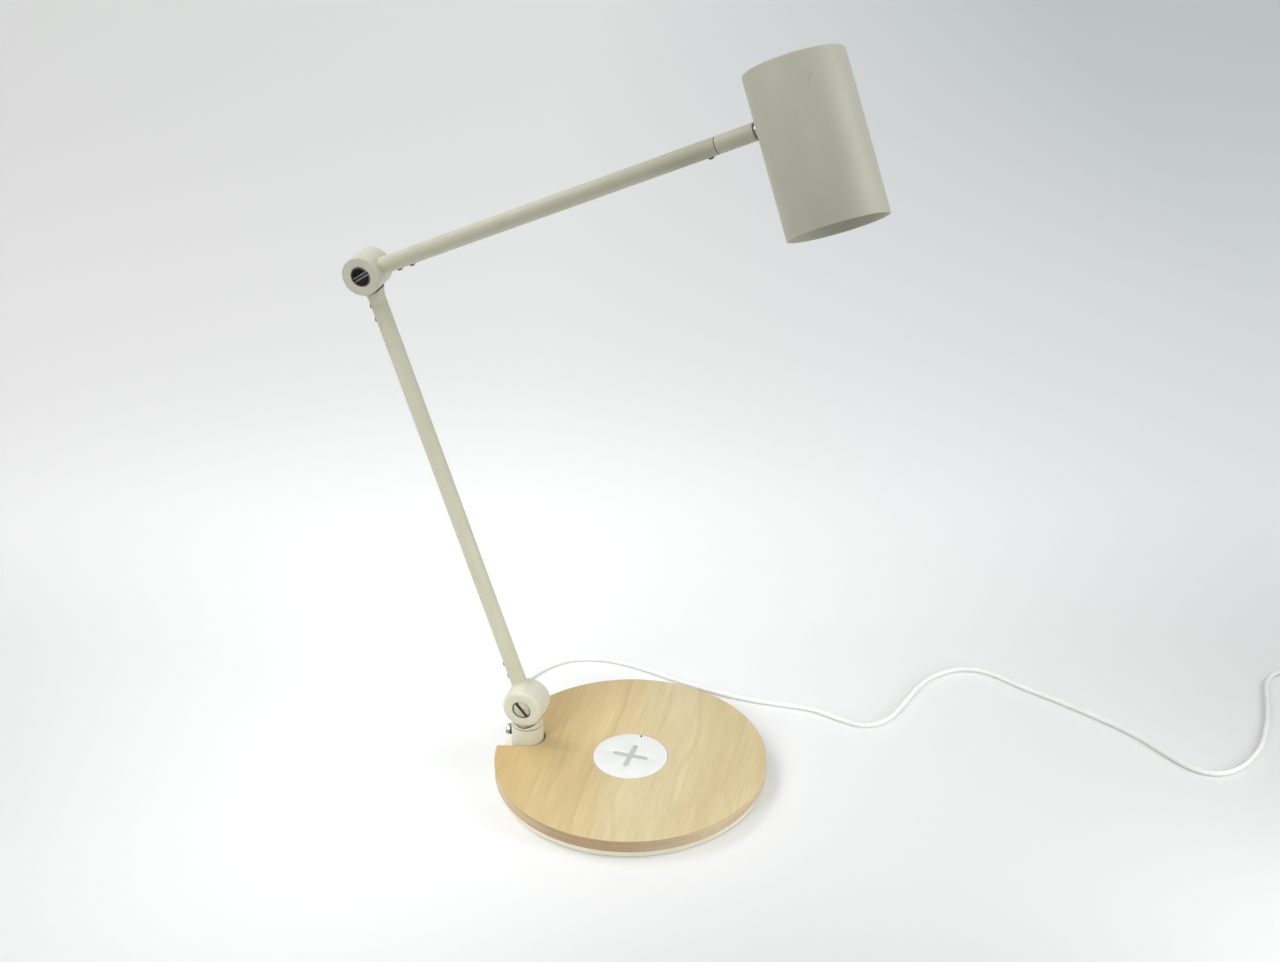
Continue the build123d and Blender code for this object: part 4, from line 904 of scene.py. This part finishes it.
# Inside the shade: a die-cast carrier on the neck, the light board with its chips, a white
# reflector cone, a frosted diffuser and the ring that holds it in the mouth.
cast_metal = cloudy("cast_metal", (0.48, 0.49, 0.50), (0.60, 0.61, 0.62), 0.42, 1.0, 140, 1200)
white_mask = cloudy("white_mask", (0.74, 0.74, 0.72), (0.82, 0.82, 0.80), 0.35, 0.0, 150)
phosphor = cloudy("phosphor_yellow", (0.72, 0.50, 0.06), (0.82, 0.62, 0.12), 0.4, 0.0, 700)
keep(cast_metal, "led_carrier")
keep(white_mask, "led_board", "reflector")
keep(phosphor, "led_chips")
keep(dark_window, "push_switch")
frosted = cloudy("frosted_diffuser", (0.72, 0.72, 0.69), (0.80, 0.80, 0.77), 0.6, 0.0, 30, 2600, 0.15)
diffuser = turn(
    "diffuser_disc",
    [(0, -47), (30.7, -47), (30.7, -49), (26, -49.2), (14, -49.6), (0, -49.8)],
    128,
)
ease(diffuser, 0.2, 2)
put(diffuser, head)
dress(diffuser, frosted, "head", "frosted", "diffuser")
ring_plastic = cloudy("ring_plastic", (0.50, 0.49, 0.42), (0.56, 0.55, 0.47), 0.5, 0.0, 80, 1400)
ring = turn(
    "diffuser_ring",
    [(28.2, -49.1), (30.7, -49.1), (30.7, -51.5), (29.2, -51.5), (28.2, -50.4), (28.2, -49.1)],
    128,
)
ease(ring, 0.15, 2)
put(ring, head)
dress(ring, ring_plastic, "head", "inner_plastic", "retaining_ring")


# Push button: moulded plastic in the shade's colour, slightly dished, with a stem to the switch.
# It travels a millimetre and a half and springs back.
button_plastic = cloudy("button_plastic", (0.50, 0.49, 0.41), (0.56, 0.55, 0.46), 0.4, 0.0, 90, 1600)
button_stem = [(0, 26.4), (2.5, 26.4), (2.5, 28.4), (7.8, 28.4), (7.8, 29.6)]
button_cap = [(6, 29.6), (6, 31.9), (5.6, 32.3), (4.6, 32.2), (0, 31.9)]
button = turn("push_button_cap", button_stem + button_cap, 96)
ease(button, 0.15, 2)
put(button, head)
dress(button, button_plastic, "button", "white_plastic", "power_button")


# Supply cord: a thin white round lead that leaves the base behind the post, runs round its back
# and away to the right; the spare length is wound in a flat coil before the adapter.
cord_white = cloudy("cord_white", (0.86, 0.86, 0.82), (0.92, 0.92, 0.89), 0.42, 0.0, 60, 1600, 0.06)
exit_angle = math.radians(lead_angle)
exit_way = Vector((math.cos(exit_angle), math.sin(exit_angle), 0))
cord_radius, exit_height, nose_length = 2, 8.6, 9
nose_tip = exit_way * (disc_radius + nose_length) + Vector((0, 0, exit_height))
table_route = [
    (-104.8, 109.5), (-93, 123.5), (-76, 131), (-55, 133.5), (-29, 129), (-2, 121.5), (28, 115.3),
    (57, 112.8), (83, 114.1), (109, 115.8), (133, 107.5), (153, 104.5), (167.5, 120), (174.5, 151),
    (181.5, 178), (195, 196.5), (212, 206), (231, 204.5), (254, 193), (285, 182), (317, 168.5),
    (347.5, 154), (372, 134.5), (391, 122.5), (408.5, 122.5), (423.5, 135), (435, 162), (438.5, 195),
    (437.3, 229), (434.5, 254), (440.5, 270), (453, 277.5), (467.5, 280.5), (481, 281.5),
]
route = [
    nose_tip, nose_tip + exit_way * 8,
    (-107.5, 63.5, 6.8), (-112, 70.5, 4.4), (-113.8, 79.5, 2.6), (-112.2, 91, cord_radius),
    *((x, y, cord_radius) for x, y in table_route),
]
coil_radius, coil_pitch, turns_in, climb_turns, layer = 31.3, 5.3, 2.75, 0.5, 5.0
coil_start_x, supply_line_y = 498, 281.5
coil_middle = Vector((coil_start_x, supply_line_y + coil_radius, cord_radius))
all_turns = 2 * turns_in + climb_turns
points_per_turn = 16
for index in range(round(all_turns * points_per_turn) + 1):
    done = index / points_per_turn
    radius = coil_radius - coil_pitch * min(done, all_turns - done, turns_in)
    climbed = min(max((done - turns_in) / climb_turns, 0), 1)
    angle = 2 * math.pi * done - math.pi / 2
    height = layer * (1 - math.cos(math.pi * climbed)) / 2
    route.append(coil_middle + Vector((radius * math.cos(angle), radius * math.sin(angle), height)))
coil_end = Vector((coil_start_x, supply_line_y, cord_radius + layer))
free_run, sleeve_length = 38, 20
adapter_face = coil_end + Vector((free_run + sleeve_length, 0, 0))
route += [coil_end + Vector((14, 0, 0)), coil_end + Vector((free_run, 0, 0)), adapter_face]
cord_curve = bpy.data.curves.new("supply_cord_line", "CURVE")
cord_curve.dimensions = "3D"
cord_spline = cord_curve.splines.new("NURBS")
cord_spline.points.add(len(route) - 1)
for point, place in zip(cord_spline.points, route):
    point.co = (*(Vector(place) * mm), 1)
cord_spline.order_u = 3
cord_spline.use_endpoint_u = True
cord_curve.resolution_u = 6
cord_curve.bevel_depth = cord_radius * mm
cord_curve.bevel_resolution = 5
cord_curve.use_fill_caps = True
cord = bpy.data.objects.new("supply_lead", cord_curve)
bpy.context.scene.collection.objects.link(cord)
dress(cord, cord_white, "base", "lead_cover", "supply_cord", "cord_coil")


# Strain reliefs: soft ribbed sleeves moulded on the cord, one in the base's channel
# and one at the adapter.

def relief(name, outline, place):
    """Tapered sleeve with rings moulded round it."""
    made = turn(name, outline, 48)
    ease(made, 0.25, 2)
    return put(made, place)


def ribbed(start, length, wide, narrow, rings):
    """Outline of a tapered sleeve from its root to its tip, with shallow grooves."""
    outline = [(0, start), (wide, start)]
    for ring in range(rings):
        low = start + length * (ring + 0.45) / (rings + 0.6)
        gap = length * 0.35 / (rings + 0.6)
        here = wide + (narrow - wide) * (low - start) / length
        outline += [(here, low), (here - 0.45, low + gap * 0.2)]
        outline += [(here - 0.5, low + gap * 0.8), (here - 0.1, low + gap)]
    tip = start + length
    return outline + [(narrow, tip), (2.05, tip), (2.05, tip - 1), (0, tip - 1)]


exit_place = frame_at((0, 0, exit_height * mm), (0, 0, 1), exit_way)
nose = relief("base_strain_relief", ribbed(disc_radius, nose_length, 3.5, 2.5, 3), exit_place)
relief_block = ease(block((5.2, 8, 13), exit_place @ at(0, 0, 92)), 0.6, 3)
join(nose, relief_block)
ease(nose, 0, 1, 50)
dress(nose, lead_jacket, "base", "lead_cover", "cord_grommet")
sleeve = relief(
    "adapter_strain_relief",
    ribbed(0, sleeve_length, 3.5, 2.7, 6),
    frame_at(adapter_face * mm, (0, 1, 0), (-1, 0, 0)),
)
dress(sleeve, lead_jacket, "base", "lead_cover", "adapter_relief")


# Power adapter: a moulded case in two halves, welded along a fine seam that runs right round.
# It lies on its back with its two plug pins up.
adapter_grain = cloudy("adapter_grain", (0.70, 0.70, 0.67), (0.77, 0.77, 0.74), 0.5, 0.0, 60, 1500, 0.2)
adapter_length, adapter_width, adapter_height = 62, 42, 30
adapter_x = adapter_face.x + adapter_length / 2
seam_low, seam_high = 18.6, 19.2
adapter = block(
    (adapter_length, adapter_width, adapter_height),
    at(adapter_x, supply_line_y, adapter_height / 2),
)
adapter.name = "adapter_case"
only(adapter)
bpy.ops.object.mode_set(mode="EDIT")
for height in (seam_low, seam_high):
    bpy.ops.mesh.select_all(action="SELECT")
    bpy.ops.mesh.bisect(plane_co=(0, 0, height * mm), plane_no=(0, 0, 1))
bpy.ops.object.mode_set(mode="OBJECT")
ease(adapter, 3.2, 5)
bpy.ops.object.mode_set(mode="EDIT")
bpy.ops.mesh.select_mode(type="FACE")
bpy.ops.mesh.select_all(action="DESELECT")
bpy.ops.object.mode_set(mode="OBJECT")
for face in adapter.data.polygons:
    face.select = abs(face.normal.z) < 0.5 and seam_low < face.center.z / mm < seam_high
bpy.ops.object.mode_set(mode="EDIT")
bpy.ops.mesh.inset(thickness=0.08 * mm, depth=-0.35 * mm)
bpy.ops.mesh.select_mode(type="VERT")
bpy.ops.object.mode_set(mode="OBJECT")
dress(adapter, adapter_grain, "base", "adapter_shell", "power_adapter")

pin = turn(
    "adapter_pins_pair",
    [(0, adapter_height), (2, adapter_height), (2, 47), (1.6, 48.4), (0.9, 48.9), (0, 49)],
    48,
)
ease(pin, 0, 1)
pin_offset = 9.5
repeated(pin, [at(adapter_x, supply_line_y + side * pin_offset, 0) for side in (-1, 1)])
dress(pin, zinc, "base", "steel", "adapter_pins")


# Coil tie: a narrow soft strap, wrapped once round the coiled spare length and closed on itself.
# It holds the two layers of turns together at the coil's right side.
tie_strap = cloudy("tie_strap", (0.70, 0.70, 0.67), (0.78, 0.78, 0.75), 0.6, 0.0, 200, 1500)
turns_width = coil_pitch * turns_in
strap_height = layer + 4.6
strap_place = at(coil_middle.x + coil_radius - turns_width / 2, coil_middle.y, strap_height / 2)
strap = block((turns_width + 5.2, 9, strap_height), strap_place)
strap.name = "coil_tie"
ease(strap, 2.4, 5)
inner = block((turns_width + 4.0, 12, strap_height - 1.2), strap_place)
ease(inner, 2.0, 5)
cut(strap, inner)
ease(strap, 0, 1)
dress(strap, tie_strap, "base", "lead_cover")


# Stage: a pale satin table top with a painted glow, seen only directly, that is lighter towards the back of
# the picture and darker and bluer towards the right; soft boxes at both sides, in front and above, four
# small lamps for the dark sides, and a dim plain world.
paper = new_finish("pale_table", (0.74, 0.75, 0.745), 0.45)


def seen_directly(finish):
    """One for rays from the camera, a mirror or glass, which show a surface, and nought for its light."""
    rays = add_node(finish, "ShaderNodeLightPath", {}).outputs
    total = rays["Is Camera Ray"]
    for kind in ("Is Glossy Ray", "Is Transmission Ray"):
        total = add_node(finish, "ShaderNodeMath", {0: total, 1: rays[kind]}, "MAXIMUM").outputs["Value"]
    return total


# Painted light: the table's glow grows with distance from the picture's foot and is shaded darker and bluer
# on the right.
photo_ahead, photo_right, picture_foot = (-0.309, 0.951, 0), (0.951, 0.309, 0), 0.28
table_place = add_node(paper, "ShaderNodeTexCoord", {}).outputs["Object"]
table_depth = add_node(paper, "ShaderNodeVectorMath", {0: table_place, 1: photo_ahead}, "DOT_PRODUCT")
table_past = add_node(paper, "ShaderNodeMath", {0: table_depth.outputs["Value"], 1: picture_foot}, "ADD")
table_either = add_node(paper, "ShaderNodeMath", {0: table_past.outputs["Value"]}, "ABSOLUTE")
table_stretch = {"Value": table_either.outputs["Value"], "From Max": 2.4}
table_reach = add_node(paper, "ShaderNodeMapRange", table_stretch).outputs["Result"]
table_glow = add_node(paper, "ShaderNodeValToRGB", {"Fac": table_reach})
glow = table_glow.color_ramp
glow.interpolation = "B_SPLINE"
glow.elements[0].position = 0.05
glow.elements[0].color = (0.05, 0.05, 0.05, 1)
glow.elements[1].position = 1
glow.elements[1].color = (0.52, 0.53, 0.525, 1)
for place, level in ((0.19, 0.16), (0.28, 0.38), (0.48, 0.38)):
    glow.elements.new(place).color = (level, level, level, 1)
table_side = add_node(paper, "ShaderNodeVectorMath", {0: table_place, 1: photo_right}, "DOT_PRODUCT")
side_stretch = {"Value": table_side.outputs["Value"], "From Min": -1}
side_reach = add_node(paper, "ShaderNodeMapRange", side_stretch).outputs["Result"]
left_painted_light = between(paper, side_reach, 0, (0.95, 0.945, 0.93), 0.45, (1.0, 1.01, 1.0))
right_painted_shade = between(paper, side_reach, 0.45, (1.0, 1.0, 1.0), 0.85, (0.57, 0.62, 0.66))
side_painted_light = blended(paper, 1.0, left_painted_light, right_painted_shade, "MULTIPLY")
table_painted_light = blended(paper, 1.0, table_glow.outputs["Color"], side_painted_light, "MULTIPLY")
gloss_and_painted_glow = {"Specular IOR Level": 0.45, "Emission Color": table_painted_light, "Emission Strength": seen_directly(paper)}
plug(paper, shader_of(paper), gloss_and_painted_glow)
bpy.ops.object.select_all(action="DESELECT")
bpy.ops.mesh.primitive_plane_add(size=14)
floor = bpy.context.object
floor.name = "pale_table"
floor.data.materials.append(paper)

world = bpy.data.worlds.new("studio")
bpy.context.scene.world = world
world.use_nodes = True
dim, seen_level = 0.06, 0.72
levels = {"Value": seen_directly(world), "To Min": dim, "To Max": seen_level}
strength = add_node(world, "ShaderNodeMapRange", levels).outputs["Result"]
plug(world, world.node_tree.nodes["Background"], {"Color": (0.97, 0.98, 1.0, 1), "Strength": strength})


def soft_lamp(name, place, aim, size, power, spread=180):
    """Square softbox that points at a spot."""
    light = bpy.data.lights.new(name, "AREA")
    light.shape = "SQUARE"
    light.size = size
    light.energy = power
    light.spread = math.radians(spread)
    lamp = bpy.data.objects.new(name, light)
    bpy.context.scene.collection.objects.link(lamp)
    lamp.location = place
    lamp.rotation_euler = (Vector(aim) - Vector(place)).to_track_quat("-Z", "Y").to_euler()


soft_lamp("right_softbox", (1.4, 0.45, 1.2), (0, 0, 0.25), 1.2, 12)
soft_lamp("left_softbox", (-1.145, -0.372, 1.588), (0, 0, 0.25), 1.0, 9.8)
soft_lamp("front_softbox", (0.1, -1.4, 1.5), (0, 0, 0.2), 1.0, 6)
soft_lamp("top_softbox", (0, 0, 2.1), (0, 0, 0), 1.4, 6.6)
soft_lamp("left_beam", (-0.75, 0.25, 0.95), (-0.15, 0, 0), 0.6, 0.63, 60)
soft_lamp("post_beam", (-0.35, -0.75, 0.55), (-0.1, 0, 0.02), 0.4, 0.32, 40)
soft_lamp("low_right", (0.75, -0.1, 0.2), (-0.05, 0, 0.05), 0.2, 0.6, 95)
soft_lamp("low_left", (-0.45, -0.6, 0.22), (-0.08, 0, 0.05), 0.4, 0.19, 110)

camera_data = bpy.data.cameras.new("photo_view")
camera_data.sensor_fit = "HORIZONTAL"
camera_data.sensor_width = 36
camera_data.lens = 56.25
camera = bpy.data.objects.new("photo_view", camera_data)
bpy.context.scene.collection.objects.link(camera)
pitch, roll = math.radians(28.36), math.radians(-0.347)
heading = Vector((-0.3089, 0.9511, 0)).normalized()
ahead = heading * math.cos(pitch) - Vector((0, 0, math.sin(pitch)))
level_right = Vector((heading.y, -heading.x, 0))
level_up = level_right.cross(ahead)
right = level_right * math.cos(roll) + level_up * math.sin(roll)
camera_place = (0.37275, -1.12125, 0.8791)
camera.matrix_world = frame_at(camera_place, right, -ahead)
bpy.context.scene.camera = camera
bpy.context.scene.view_settings.view_transform = "Standard"

bpy.context.view_layer.update()
